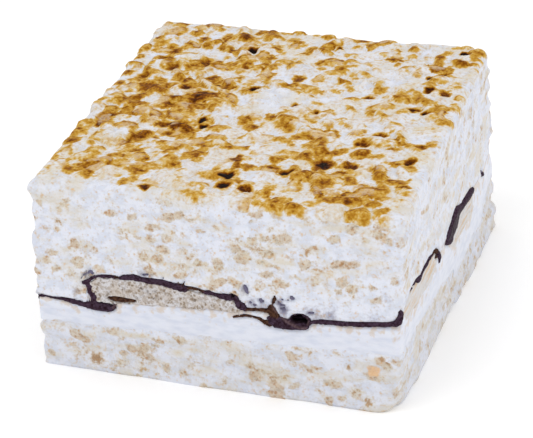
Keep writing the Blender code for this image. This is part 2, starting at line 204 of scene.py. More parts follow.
# Brown grains and clusters that show in the front cut: place, height, reach in
# millimetres and how much.
GRAIN_SPOTS = (
    (-27.6, 46.7, 1.2, 0.60), (-38.7, 44.5, 1.0, 0.50), (-36.1, 38.5, 1.2, 0.75),
    (-30.7, 43.5, 0.9, 0.55), (-20.3, 37.7, 1.9, 0.62), (-32.6, 33.1, 2.3, 0.58),
    (-15.9, 32.1, 2.4, 0.58), (-14.7, 29.1, 1.9, 0.72), (-5.5, 33.3, 0.6, 0.75),
    (-2.4, 45.5, 1.0, 0.50), (6.3, 39.3, 1.9, 0.62), (11.1, 37.9, 1.9, 0.60),
    (22.0, 38.5, 1.5, 0.66), (16.7, 41.7, 1.6, 0.50), (13.9, 42.9, 1.0, 0.60),
    (22.7, 46.9, 1.3, 0.60), (24.8, 34.9, 2.6, 0.50), (30.1, 36.9, 0.9, 0.85),
    (37.4, 44.5, 2.0, 0.50), (-39.3, 28.5, 1.3, 0.45), (-8.5, 39.0, 1.6, 0.45),
    (32.5, 29.0, 1.0, 0.55), (-29.8, 30.0, 1.6, 0.50), (0.4, 30.5, 1.6, 0.42),
    (-29.6, 3.5, 2.0, 0.95), (-18.4, 5.9, 2.3, 0.62), (-9.0, 11.0, 0.8, 0.90),
    (38.7, 14.4, 1.2, 0.80), (1.2, 2.9, 1.7, 0.62), (13.2, 5.1, 1.7, 0.72),
    (13.6, 15.0, 2.4, 0.45), (22.0, 13.6, 1.7, 0.60), (-2.3, 13.8, 2.0, 0.45),
    (32.6, 4.5, 1.8, 0.68), (35.4, 2.7, 1.5, 0.82), (24.0, 3.5, 1.2, 0.58),
    (-37.8, 12.0, 2.2, 0.50), (-33.6, 4.2, 2.4, 0.50), (31.1, 10.8, 0.9, 0.85),
    (6.4, 10.1, 1.8, 0.45), (-24.0, 12.6, 1.2, 0.45), (10.4, 27.7, 0.7, 0.75),
    (14.1, 28.4, 2.2, 0.55), (40.5, 17.4, 0.6, 0.70), (-32.2, 21.1, 1.0, 0.70),
)
# Smudges of chocolate under the front's marshmallow, in the same measures.
SMUDGES = (
    (15.7, 24.7, 1.4, 0.84), (16.3, 23.4, 1.4, 0.95), (8.9, 23.8, 1.7, 0.57),
    (11.3, 23.4, 2.0, 0.47), (23.6, 22.8, 2.6, 0.54), (27.0, 23.7, 1.7, 0.68),
    (22.2, 23.4, 1.6, 0.68), (-30.3, 25.9, 1.3, 0.61), (-16.3, 27.7, 1.7, 0.61),
    (-14.5, 27.5, 1.2, 0.54), (-33.2, 21.1, 1.6, 0.47), (7.6, 27.2, 1.4, 0.61),
    (37.1, 23.9, 2.1, 0.34), (40.2, 29.8, 1.9, 0.27), (28.1, 25.1, 1.2, 0.47),
)
# A chip of peach-coloured cracker in the lower block: place, height, reach both ways.
CRACKER_CHIP = (37.0, 10.8, 1.65, 1.05)

# Where the torch browned the top most, and where it left it white: x, y, reach in
# millimetres and how much. The base is how brown it left the rest.
TORCH_BASE = 0.56
TORCH_MARKS = (
    (-29.1, 3.9, 15.0, 0.34), (-24.1, -13.9, 10.0, 0.20), (-32.2, -34.0, 4.0, 0.22),
    (-23.1, -36.5, 3.4, 0.22), (-14.5, -40.5, 2.6, 0.30), (6.8, -32.5, 3.4, -0.30),
    (22.4, -25.9, 12.0, 0.12), (0.9, -34.0, 8.0, 0.10), (33.9, 26.5, 4.5, 0.16),
    (-14.1, 37.3, 8.0, 0.10), (-1.1, 5.9, 5.5, -0.85), (-9.8, -3.4, 3.2, -0.80),
    (-9.8, -4.4, 1.3, 0.75), (0.8, 25.6, 4.5, -0.40), (20.4, 26.5, 7.0, -0.34),
    (37.7, 30.4, 3.0, -0.30), (29.1, 39.2, 3.6, -0.40), (0.8, 16.7, 8.0, -0.14),
    (23.3, -0.1, 14.0, -0.21), (-32.8, 12.6, 3.5, -0.60), (-30.1, -18.9, 2.8, -0.75),
    (-29.1, 1.8, 2.0, -0.40), (-35.2, 32.5, 2.4, -0.35), (-13.0, -36.0, 5.5, -0.30),
    (14.6, -36.0, 4.0, -0.25), (37.3, -23.0, 2.6, -0.35), (-37.8, -44.1, 5.0, -0.25),
    (35.8, 40.2, 5.0, -0.10),
)

# Spots that the torch burnt dark: x, y and reach in millimetres, and how much.
BURNT_SPOTS = (
    (-14.7, 31.7, 1.1, 1.00), (-23.7, 22.9, 2.0, 0.55), (-35.2, 23.9, 0.9, 0.55),
    (-31.0, 18.9, 1.7, 0.55), (-36.6, 12.6, 1.6, 0.55), (-24.1, 8.7, 1.6, 0.64),
    (-33.2, 6.7, 2.0, 0.55), (-31.4, 10.7, 1.5, 0.46), (-13.3, 16.0, 1.0, 0.55),
    (-7.7, 11.4, 1.0, 0.88), (-20.1, 2.3, 1.4, 0.62), (-24.9, -1.6, 1.8, 0.48),
    (-33.7, -2.0, 1.5, 0.48), (-14.2, -7.2, 1.0, 1.00), (-13.2, -10.8, 1.0, 1.00),
    (-22.5, -11.6, 1.5, 0.59), (-20.1, -15.9, 1.3, 0.57), (-16.4, -13.2, 1.5, 0.59),
    (-26.5, -18.7, 2.3, 0.59), (-0.1, -32.4, 1.4, 1.00), (1.1, -38.0, 1.1, 0.84),
    (6.0, -38.4, 1.2, 0.66), (-15.8, -42.4, 1.3, 0.66), (12.5, -28.7, 1.3, 0.88),
    (19.5, -23.3, 2.0, 0.79), (25.7, -23.1, 1.3, 0.66), (22.2, -31.9, 2.2, 0.44),
    (39.9, -30.7, 1.0, 0.66), (38.0, -18.0, 1.3, 0.66), (25.3, -11.2, 1.5, 0.59),
    (28.0, -6.4, 1.4, 0.66), (38.4, -10.0, 1.2, 0.55), (4.2, 5.1, 1.1, 0.77),
    (10.5, 2.3, 0.8, 0.66), (32.2, 8.8, 1.2, 0.77), (35.3, 7.0, 0.9, 0.88),
    (20.0, 12.6, 0.9, 0.62), (33.0, 19.6, 1.2, 0.77), (37.6, 18.5, 1.3, 0.62),
    (31.4, 26.5, 0.9, 0.77), (34.3, 28.3, 0.9, 0.84), (1.0, 18.9, 1.5, 0.59),
    (-2.2, 26.8, 1.4, 0.50), (3.8, 28.7, 1.2, 0.44), (5.9, 36.9, 0.7, 0.73),
    (36.8, 40.8, 0.9, 1.00),
)

# Stretches of plain marshmallow in the cuts: place, height and reach both ways in mm.
PLAIN_PATCHES = (
    (17.0, 25.0, 10.0, 4.0), (32.0, 24.5, 9.0, 2.6), (-38.5, 20.5, 5.0, 3.0),
    (0.0, 37.0, 5.0, 3.0), (-26.0, 36.0, 4.5, 3.0), (26.0, 11.5, 6.0, 2.0),
)

# The stretch of the cuts where chocolate is modelled: first and last place, and lowest and
# highest. The blocks and the band step back behind it up to the place, and between the
# heights, that come next. All are in millimetres.
CHOCOLATE_STRETCH = (-43.3, 129.0, 13.5, 28.4)
LAST_STEP_BACK = 131.0
LOW_STEP_BACK, HIGH_STEP_BACK = 12.0, 30.0
# How far they step back behind the chocolate and behind its hollows, in millimetres.
BEHIND_CHOCOLATE = 0.55
BEHIND_HOLLOWS = 2.6
# How far behind the face of a patch on the cuts each row of its wall lies.
PATCH_DEPTHS = (0.0, 0.6, 1.2)
# Places round the block between which the hidden cracker may reach the cuts, the step
# from place to place along a cracker, and how far short of a cracker's ends they stop.
HIDDEN_CRACKER = (174.0, 263.0)
PLACE_STEP = 0.25
END_INSET = 0.4

# Colours of the small marks in the finishes.
PALE_BRAN = (0.49, 0.325, 0.165)
DEEP_BRAN = (0.47, 0.285, 0.165)
DRY_GRAIN = (0.67, 0.54, 0.37)
# Painted shade for the darker foot of the cuts.
PAINTED_FOOT_SHADE = (0.30, 0.29, 0.31)
CHOCOLATE_SMUDGE = (0.20, 0.19, 0.28)
CHOCOLATE_DUST = (0.042, 0.034, 0.054)
# Browns of thin chocolate, also used as painted shade in the gaps beside it.
THIN_CHOCOLATE_AND_SHADE = (0.030, 0.012, 0.010)
BROWN_CHOCOLATE_AND_SHADE = (0.095, 0.045, 0.026)
CHOCOLATE_VEIL = (0.19, 0.18, 0.27)
# Painted highlight on the chocolate's folds.
PAINTED_FOLD_HIGHLIGHT = (0.20, 0.13, 0.14)
# Painted shade inside the chocolate's hollows.
PAINTED_HOLLOW_SHADE = (0.004, 0.003, 0.003)
BAND_CRUMBS = (0.62, 0.50, 0.38)
CRACKER_MOTTLE = (0.40, 0.325, 0.26)
# Painted shade in the cracker's open pits.
PAINTED_PIT_SHADE = (0.13, 0.08, 0.05)
SMEAR_WHITE = (0.685, 0.67, 0.67)
SMEAR_TAN = (0.67, 0.50, 0.335)
# How far red, green and blue light spread in marshmallow, for their scale.
SCATTER = (1.0, 0.8, 0.6)
# From bare marshmallow to burnt: how much toasting gives each colour.
TOAST_STOPS = (
    (0.00, (0.68, 0.60, 0.44)),
    (0.11, (0.66, 0.485, 0.205)),
    (0.24, (0.58, 0.34, 0.060)),
    (0.38, (0.44, 0.21, 0.018)),
    (0.52, (0.260, 0.088, 0.004)),
    (0.68, (0.100, 0.023, 0.001)),
    (0.90, (0.010, 0.005, 0.004)),
)

# The stage: half the floor's side in metres, its glow and the light of the room, then
# each lamp's place and size in metres, its power in watts and its colour.
FLOOR_HALF = 1.5
FLOOR_GLOW = 0.07
ROOM_LIGHT = 0.90
LAMPS = {
    "key_light": ((-0.25, -0.40, 0.90), 0.50, 1.5, (1.0, 1.0, 1.0)),
    "side_light": ((0.80, -0.05, 0.60), 0.60, 0.85, (1.0, 0.98, 0.95)),
}
# The camera at the photograph's angle, with its lens in millimetres.
CAMERA_PLACE = (1.814 * WIDTH, -5.366 * WIDTH, 3.338 * WIDTH)
CAMERA_HEADING = math.radians(-18.94)
CAMERA_TILT = math.radians(28.72)
CAMERA_ROLL = math.radians(-2.52)
CAMERA_LENS = 154.4


def length_of(name, description, default, **limits):
    """A setting that is a length."""
    return bpy.props.FloatProperty(
        name=name, description=description, default=default, unit="LENGTH", precision=5,
        **limits,
    )


def colour_of(name, description, default):
    """A setting that is a colour."""
    return bpy.props.FloatVectorProperty(
        name=name, description=description, default=default, subtype="COLOR", size=3,
        min=0.0, max=1.0,
    )


class TreatSizes(bpy.types.PropertyGroup):
    """Sizes of the treat's surfaces."""

    block_cell: length_of(
        "Block cell", "Spacing of the points on the two blocks", 0.45 * MM, min=0.2 * MM
    )
    fine_cell: length_of(
        "Fine cell", "Spacing of the points on chocolate and cracker", 0.24 * MM, min=0.1 * MM
    )
    edge_radius: length_of("Edge radius", "Rounding of the blocks' top and bottom edges", 0.9 * MM)
    blister_height: length_of("Blister height", "How high the tallest blister stands", 1.2 * MM)
    chocolate_proud: length_of("Chocolate", "How far the chocolate stands out of a cut", 0.22 * MM)
    seed: bpy.props.IntProperty(name="Seed", description="Start of the random draws", default=5)


class TreatColours(bpy.types.PropertyGroup):
    """Colours of the treat's finishes."""

    marshmallow: colour_of("Marshmallow", "Cool white of the marshmallow", (0.690, 0.710, 0.785))
    haze: colour_of("Rice haze", "Pale tan of rice just under the marshmallow", (0.665, 0.595, 0.465))
    rice: colour_of("Rice", "Tan of the cut puffed rice", (0.54, 0.40, 0.255))
    husk: colour_of("Husk", "Brown of the rice's darker spots", (0.36, 0.20, 0.085))
    chip: colour_of("Cracker chip", "Peach of the chip in the lower block", (0.80, 0.52, 0.30))
    toasted_grain: colour_of("Toasted grain", "Specks of the top's dry grains", (0.46, 0.26, 0.11))
    chocolate: colour_of("Chocolate", "Dark, slightly purple brown", (0.020, 0.007, 0.012))
    crumb: colour_of("Cracker crumb", "Cream of the cracker's crumb", (0.595, 0.580, 0.595))
    crust: colour_of("Cracker crust", "Tan of the cracker's pores", (0.29, 0.225, 0.165))


def lattice(points, cell):
    """Where points lie on a lattice of the given cell, and the lattice corner below each."""
    where = points / cell + NOISE_SHIFT
    return where, np.floor(where).astype(int)


def lattice_noise(points, cell, seed):
    """Smooth noise from -1 to 1 at an array of points, on a lattice of the given cell."""
    table = np.random.RandomState(seed).uniform(-1.0, 1.0, (NOISE_SIDE,) * 3)
    where, base = lattice(points, cell)
    part = where - base
    part = part * part * (3.0 - 2.0 * part)
    total = np.zeros(len(points))
    for corner in np.ndindex(2, 2, 2):
        weight = np.prod(np.abs(1.0 - np.array(corner) - part), axis=1)
        x, y, z = ((base + corner) % NOISE_SIDE).T
        total += weight * table[x, y, z]
    return total


def layered_noise(points, cell, seed, octaves=3):
    """Lattice noise with finer and weaker layers added."""
    total = np.zeros(len(points))
    reach = 0.0
    for octave in range(octaves):
        share = 0.5 ** octave
        total += share * lattice_noise(points, cell * share, seed + 17 * octave)
        reach += share
    return total / reach


def bends(points, cell, seed, ways, octaves=1):
    """Smooth noise for each of several directions at each point."""
    return np.stack([layered_noise(points, cell, seed + k, octaves) for k in range(ways)], axis=1)


def pore_noise(points, cell, seed):
    """Distance, in cells, to the nearest of scattered pore centres."""
    table = np.random.RandomState(seed).uniform(0.1, 0.9, (NOISE_SIDE,) * 3 + (3,))
    where, base = lattice(points, cell)
    nearest = np.full(len(points), np.inf)
    for corner in np.ndindex(3, 3, 3):
        spot = base + np.array(corner) - 1
        x, y, z = (spot % NOISE_SIDE).T
        gap = spot + table[x, y, z] - where
        nearest = np.minimum(nearest, np.einsum("ij,ij->i", gap, gap))
    return np.sqrt(nearest)


def ease(values, low, high):
    """Smooth step from 0 at low to 1 at high."""
    share = np.clip((values - low) / (high - low), 0.0, 1.0)
    return share * share * (3.0 - 2.0 * share)


def spot_level(across, up, spots, power, unit=1.0, widen=1.0):
    """How much each point lies in the strongest of some round spots with soft rims."""
    level = np.zeros(len(across))
    for x, y, reach, amount in spots:
        gap = np.hypot(across - x * unit, up - y * unit) / (widen * reach * unit)
        level = np.maximum(level, amount * np.exp(-gap ** power))
    return level


def out_of_square(points):
    """Shift of points as the block's eight corners are shifted."""
    u = points[:, 0] / WIDTH + 0.5
    v = points[:, 1] / DEPTH + 0.5
    w = np.minimum(1.0, points[:, 2] / HEIGHT)
    total = np.zeros_like(points)
    for (right, back, up), shift in CORNER_SHIFTS.items():
        share = (u if right else 1.0 - u) * (v if back else 1.0 - v) * (w if up else 1.0 - w)
        total += share[:, None] * np.array(shift) * MM
    return total


def past_straight(points):
    """How far each point lies past the straight part of the cuts, in x and in y."""
    reach_x = np.abs(points[:, 0]) - (WIDTH / 2 - PLAN_RADIUS)
    reach_y = np.abs(points[:, 1]) - (DEPTH / 2 - PLAN_RADIUS)
    return reach_x, reach_y


def plan_round(points):
    """Round the block's upright corners as seen from above."""
    result = points.copy()
    reach_x, reach_y = past_straight(points)
    near = (reach_x > 0.0) & (reach_y > 0.0)
    longest = np.maximum(reach_x[near], reach_y[near])
    share = longest / np.hypot(reach_x[near], reach_y[near])
    for axis, reach, half in ((0, reach_x, WIDTH / 2), (1, reach_y, DEPTH / 2)):
        side = np.sign(points[near, axis])
        result[near, axis] = side * (half - PLAN_RADIUS + reach[near] * share)
    return result


def outward_ways(points):
    """Level direction out of the cut at points on the block's outline."""
    ways = np.zeros_like(points)
    for axis, reach in enumerate(past_straight(points)):
        ways[:, axis] = np.sign(points[:, axis]) * np.clip(reach, 0.0, None)
    length = np.linalg.norm(ways, axis=1, keepdims=True)
    return ways / np.maximum(length, 1e-9)


def from_cuts(points):
    """How far inside the nearest cut of the square block each point lies."""
    return np.minimum(WIDTH / 2 - np.abs(points[:, 0]), DEPTH / 2 - np.abs(points[:, 1]))


def drawn_in(points, inset):
    """Points on the outline moved towards the block's middle."""
    return points * (1.0 - 2.0 * inset / WIDTH, 1.0 - 2.0 * inset / DEPTH, 1.0)


def dented(points):
    """Move points with the block's dents and bulges."""
    total = points.copy()
    for spot, reach, shift in DENTS:
        gap = np.linalg.norm(points - np.array(spot) * MM, axis=1) / (reach * MM)
        total += np.exp(-gap * gap)[:, None] * np.array(shift) * MM
    return total


def cut_wave(points, seed):
    """Swell and slow waves that all layers of a cut share, as a distance outwards."""
    return layered_noise(points, 7.0 * MM, seed + 80, 2) * 0.22 * MM + 0.50 * MM


def round_the_block(places):
    """Points on the block's outline at places measured round it from the front's middle."""
    run = (np.asarray(places) + WIDTH / 2) % (2 * (WIDTH + DEPTH))
    corners = np.cumsum([0.0, WIDTH, DEPTH, WIDTH, DEPTH])
    x = np.interp(run, corners, [-WIDTH / 2, WIDTH / 2, WIDTH / 2, -WIDTH / 2, -WIDTH / 2])
    y = np.interp(run, corners, [-DEPTH / 2, -DEPTH / 2, DEPTH / 2, DEPTH / 2, -DEPTH / 2])
    return np.stack([x, y, np.zeros(len(x))], axis=1)


def settle(points):
    """Final place of points given on the square block."""
    rounded = plan_round(points)
    return dented(rounded + out_of_square(rounded))


def edge_lines(length, cell, radius):
    """Grid lines across a face: close together round its edges, even in between."""
    rim = [radius * (1.0 - math.cos(math.radians(angle))) for angle in (0, 30, 60)]
    inner = length - 2.0 * radius
    count = math.ceil(inner / cell)
    middle = [radius + inner * step / count for step in range(count + 1)]
    lines = rim + middle + [length - place for place in reversed(rim)]
    return np.array(lines) - length / 2.0


def node_span(node, points):
    """Lowest and highest surface of a CAD node over each point, NaN where there is none."""
    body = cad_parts[node].data
    tree = BVHTree.FromPolygons(
        [vert.co for vert in body.vertices], [face.vertices for face in body.polygons]
    )
    ends = []
    for start, way in ((-HEIGHT, 1.0), (2 * HEIGHT, -1.0)):
        hits = []
        for x, y, _ in points:
            spot = tree.ray_cast(Vector((x, y, start)), Vector((0.0, 0.0, way)))[0]
            hits.append(math.nan if spot is None else spot.z)
        ends.append(np.array(hits))
    return ends


class Outline:
    """The block's cut outline seen from above, and the filling's heights along it."""

    INSIDE = 1.1 * MM

    def __init__(self, sizes):
        """Lay the grid lines and read the filling's heights off the frame."""
        self.radius = sizes.edge_radius
        self.xs = edge_lines(WIDTH, sizes.block_cell, self.radius)
        self.ys = edge_lines(DEPTH, sizes.block_cell, self.radius)
        self.nx = len(self.xs) - 1
        self.ny = len(self.ys) - 1
        loop = [(i, 0) for i in range(self.nx)]
        loop += [(self.nx, j) for j in range(self.ny)]
        loop += [(i, self.ny) for i in range(self.nx, 0, -1)]
        loop += [(0, j) for j in range(self.ny, 0, -1)]
        self.order = {key: index for index, key in enumerate(loop)}
        self.flat = np.array([(self.xs[i], self.ys[j], 0.0) for i, j in loop])
        steps = np.hypot(*np.diff(self.flat[:, :2], axis=0).T)
        self.place = np.concatenate([[0.0], np.cumsum(steps)]) - WIDTH / 2
        self.shown = self.place < WIDTH / 2 + DEPTH
        inside = drawn_in(self.flat, self.INSIDE)
        rough = layered_noise(self.flat, 1.6 * MM, sizes.seed + 3)
        rice_top = node_span("lower_crispy_block", inside)[1]
        soft_top = node_span("marshmallow_layer", inside)[1]
        dark_low, dark_top = node_span("chocolate_layer", inside)
        self.rice_top = rice_top + rough * 0.35 * MM
        self.dark_low = dark_low - rough * 0.10 * MM
        self.dark_top = dark_top + rough * 0.14 * MM
        seam = np.interp(self.place / MM, *zip(*SEAM)) * MM
        middle = (dark_low + dark_top) / 2
        self.seam = np.where(self.shown, seam, middle)
        self.soft_top = np.where(self.shown, seam + 0.3 * MM, soft_top + 0.3 * MM)
        for seats in CRACKER_SEATS.values():
            places, heights = zip(*seats)
            over = (self.place > places[0] * MM) & (self.place < places[-1] * MM)
            seat = np.interp(self.place / MM, places, heights) * MM
            self.soft_top = np.where(over, seat + rough * 0.8 * MM, self.soft_top)


def dense_face(columns, rows):
    """A bmesh grid with one unit between its lines, starting at 0, 0."""
    bm = bmesh.new()
    bmesh.ops.create_grid(bm, x_segments=columns, y_segments=rows, size=0.5)
    bmesh.ops.translate(bm, vec=(0.5, 0.5, 0.0), verts=bm.verts)
    bmesh.ops.scale(bm, vec=(columns, rows, 1.0), verts=bm.verts)
    return bm


def drape(bm, edges, rows):
    """Extrude a closed loop of edges row by row, one unit down at a time."""
    for _ in range(rows):
        grown = bmesh.ops.extrude_edge_only(bm, edges=edges)["geom"]
        verts = [item for item in grown if isinstance(item, bmesh.types.BMVert)]
        fresh = set(verts)
        edges = [
            item for item in grown
            if isinstance(item, bmesh.types.BMEdge) and fresh.issuperset(item.verts)
        ]
        bmesh.ops.translate(bm, vec=(0.0, 0.0, -1.0), verts=verts)
    return edges


def finished_mesh(bm, name):
    """Write a bmesh to a new mesh."""
    mesh = bpy.data.meshes.new(name)
    bm.to_mesh(mesh)
    bm.free()
    return mesh


def draped_mesh(name, columns, rows, walls):
    """A closed mesh laid out in whole units: a dense face, its draped walls and a cap."""
    bm = dense_face(columns, rows)
    rim = drape(bm, [edge for edge in bm.edges if edge.is_boundary], walls)
    bmesh.ops.contextual_create(bm, geom=rim)
    bmesh.ops.recalc_face_normals(bm, faces=bm.faces[:])
    mesh = finished_mesh(bm, name)
    flat = np.zeros(len(mesh.vertices) * 3)
    mesh.vertices.foreach_get("co", flat)
    keys = np.rint(flat.reshape(-1, 3)).astype(int)
    return mesh, keys[:, 0], keys[:, 1], -keys[:, 2]


def set_points(mesh, points):
    """Move all of a mesh's points."""
    mesh.vertices.foreach_set("co", points.astype(np.float32).ravel())
    mesh.update()


def point_normals(mesh):
    """Outward direction at each point."""
    flat = np.zeros(len(mesh.vertices) * 3, np.float32)
    mesh.vertices.foreach_get("normal", flat)
    return flat.reshape(-1, 3).astype(float)


def add_values(mesh, **values):
    """Store one number for each point under each name."""
    for name, numbers in values.items():
        layer = mesh.attributes.new(name, "FLOAT", "POINT")
        layer.data.foreach_set("value", numbers.astype(np.float32))


def to_piece(mesh, material, node):
    """Link a finished mesh as a piece of the treat that stands for a CAD node."""
    mesh.materials.append(material)
    mesh.shade_smooth()
    mesh.set_sharp_from_angle(angle=SHARP_ANGLE)
    piece = bpy.data.objects.new(mesh.name, mesh)
    bpy.context.scene.collection.objects.link(piece)
    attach(piece, "root")
    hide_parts(node)


def near_each(points, centres, reaches):
    """For each centre, the points at most so far from it in x, and their offsets from it."""
    order = np.argsort(points[:, 0])
    ranked = points[order]
    for centre, reach in zip(centres, reaches):
        first, last = np.searchsorted(ranked[:, 0], (centre[0] - reach, centre[0] + reach))
        yield order[first:last], ranked[first:last] - centre


class Grains:
    """Puffed grains packed through the blocks, of which the cuts and the top show sections."""

    SKIN = 2.6 * MM

    def __init__(self, seed, pitch, half):
        """Lay the grains on a jittered lattice, near the surface only."""
        rng = np.random.RandomState(seed)
        pitch = np.array(pitch) * MM
        counts = [int(length / step) + 3 for length, step in zip((WIDTH, DEPTH, HEIGHT), pitch)]
        spots = np.indices(counts).reshape(3, -1).T.astype(float)
        spots = (spots - (np.array(counts) - 1) / 2.0) * pitch
        spots[:, 2] += HEIGHT / 2
        spots += rng.uniform(-0.45, 0.45, spots.shape) * pitch
        inset = np.stack([
            WIDTH / 2 - np.abs(spots[:, 0]),
            DEPTH / 2 - np.abs(spots[:, 1]),
            HEIGHT / 2 - np.abs(spots[:, 2] - HEIGHT / 2),
        ], axis=1).min(axis=1)
        self.centres = spots[np.abs(inset) < self.SKIN]
        count = len(self.centres)
        self.yaw = rng.uniform(0.0, math.pi, count)
        self.lean = rng.uniform(-0.5, 0.5, count)
        self.half = np.array(half) * MM * rng.uniform(0.7, 1.25, (count, 3))
        self.tone = rng.uniform(0.0, 1.0, count)

    def read(self, points, seed):
        """How deep inside the nearest grain each point lies, and that grain's tone."""
        bent = points + bends(points, 1.5 * MM, seed, 3) * 0.5 * MM
        inside = np.full(len(points), -1.0)
        tone = np.zeros(len(points))
        reaches = self.half.max(axis=1) * 1.8
        for k, (found, part) in enumerate(near_each(bent, self.centres, reaches)):
            near = np.nonzero((np.abs(part[:, 1:]) < reaches[k]).all(axis=1))[0]
            if not len(near):
                continue
            turn = Matrix.Rotation(self.yaw[k], 3, "Z") @ Matrix.Rotation(self.lean[k], 3, "Y")
            local = part[near] @ np.array(turn) / self.half[k]
            depth = 1.0 - np.linalg.norm(local, axis=1)
            target = found[near]
            better = depth > inside[target]
            inside[target[better]] = depth[better]
            tone[target[better]] = self.tone[k]
        return inside, tone


class Blisters:
    """Puffed grains under the toasted skin of the top, seen from above."""

    PITCH = 3.9 * MM

    def __init__(self, seed, tallest):
        """Lay the blisters on a jittered grid."""
        rng = np.random.RandomState(seed)
        counts = (round(WIDTH / self.PITCH), round(DEPTH / self.PITCH))
        spots = np.indices(counts).reshape(2, -1).T.astype(float) + 0.5
        spots += rng.uniform(-0.48, 0.48, spots.shape)
        self.centres = spots / counts * (WIDTH, DEPTH) - (WIDTH / 2, DEPTH / 2)
        count = len(self.centres)
        self.yaw = rng.uniform(0.0, math.pi, count)
        size = (1.12 - 0.35 * self.centres[:, 1] / DEPTH) * MM
        self.long = rng.uniform(1.6, 3.9, count) * size
        self.wide = rng.uniform(1.1, 2.3, count) * size
        self.height = tallest * (0.12 + 0.88 * rng.uniform(0.0, 1.0, count) ** 1.6)
        self.tone = rng.uniform(0.0, 1.0, count)
        self.kind = rng.uniform(0.0, 1.0, count)

    def read(self, points, seed):
        """Height over the skin, and of the nearest blister how deep inside it each point
        lies, its tone, its kind and how far to the back of it the point is."""
        flat = points[:, :2] + bends(points, 2.4 * MM, seed, 2) * 0.9 * MM
        height, tone, kind, back = np.zeros((4, len(points)))
        inside = np.full(len(points), -1.0)
        for k, (target, part) in enumerate(near_each(flat, self.centres, self.long * 1.9)):
            c, s = math.cos(self.yaw[k]), math.sin(self.yaw[k])
            along = (part[:, 0] * c + part[:, 1] * s) / self.long[k]
            across = (part[:, 1] * c - part[:, 0] * s) / self.wide[k]
            depth = 1.0 - np.hypot(along, across)
            rise = self.height[k] * np.clip(1.0 - (1.0 - depth) ** 2, 0.0, 1.0) ** 0.6
            rise[depth <= 0.0] = 0.0
            height[target] = np.maximum(height[target], rise)
            better = depth > inside[target]
            chosen = target[better]
            inside[chosen] = depth[better]
            tone[chosen] = self.tone[k]
            kind[chosen] = self.kind[k]
            back[chosen] = part[better, 1] / self.wide[k]
        return height, inside, tone, kind, back


def torch(points, seed):
    """How strongly the torch browned each point of the top."""
    level = np.full(len(points), TORCH_BASE)
    flat = points[:, :2] + bends(points, 5.0 * MM, seed, 2, 3) * 2.5 * MM
    for x, y, reach, amount in TORCH_MARKS:
        gap = np.hypot(flat[:, 0] - x * MM, flat[:, 1] - y * MM) / (reach * MM)
        level += amount * np.exp(-gap * gap)
    bare = 3.0 * MM * ease(-points[:, 0], 2.0 * MM, 24.0 * MM)
    front = flat[:, 1] + DEPTH / 2 - bare
    right = WIDTH / 2 - flat[:, 0]
    return level * ease(front, -1.5 * MM, 1.5 * MM) * ease(right, 0.0, 2.6 * MM)


def burnt(points, seed):
    """How much each point of the top lies in a spot burnt dark."""
    flat = points[:, :2] + bends(points, 1.1 * MM, seed, 2) * 0.8 * MM
    return spot_level(flat[:, 0], flat[:, 1], BURNT_SPOTS, 3.5, MM, 1.25)


def tinted(color, tint):
    """A colour with each channel times that of a tint."""
    return tuple(channel * share for channel, share in zip(color, tint))


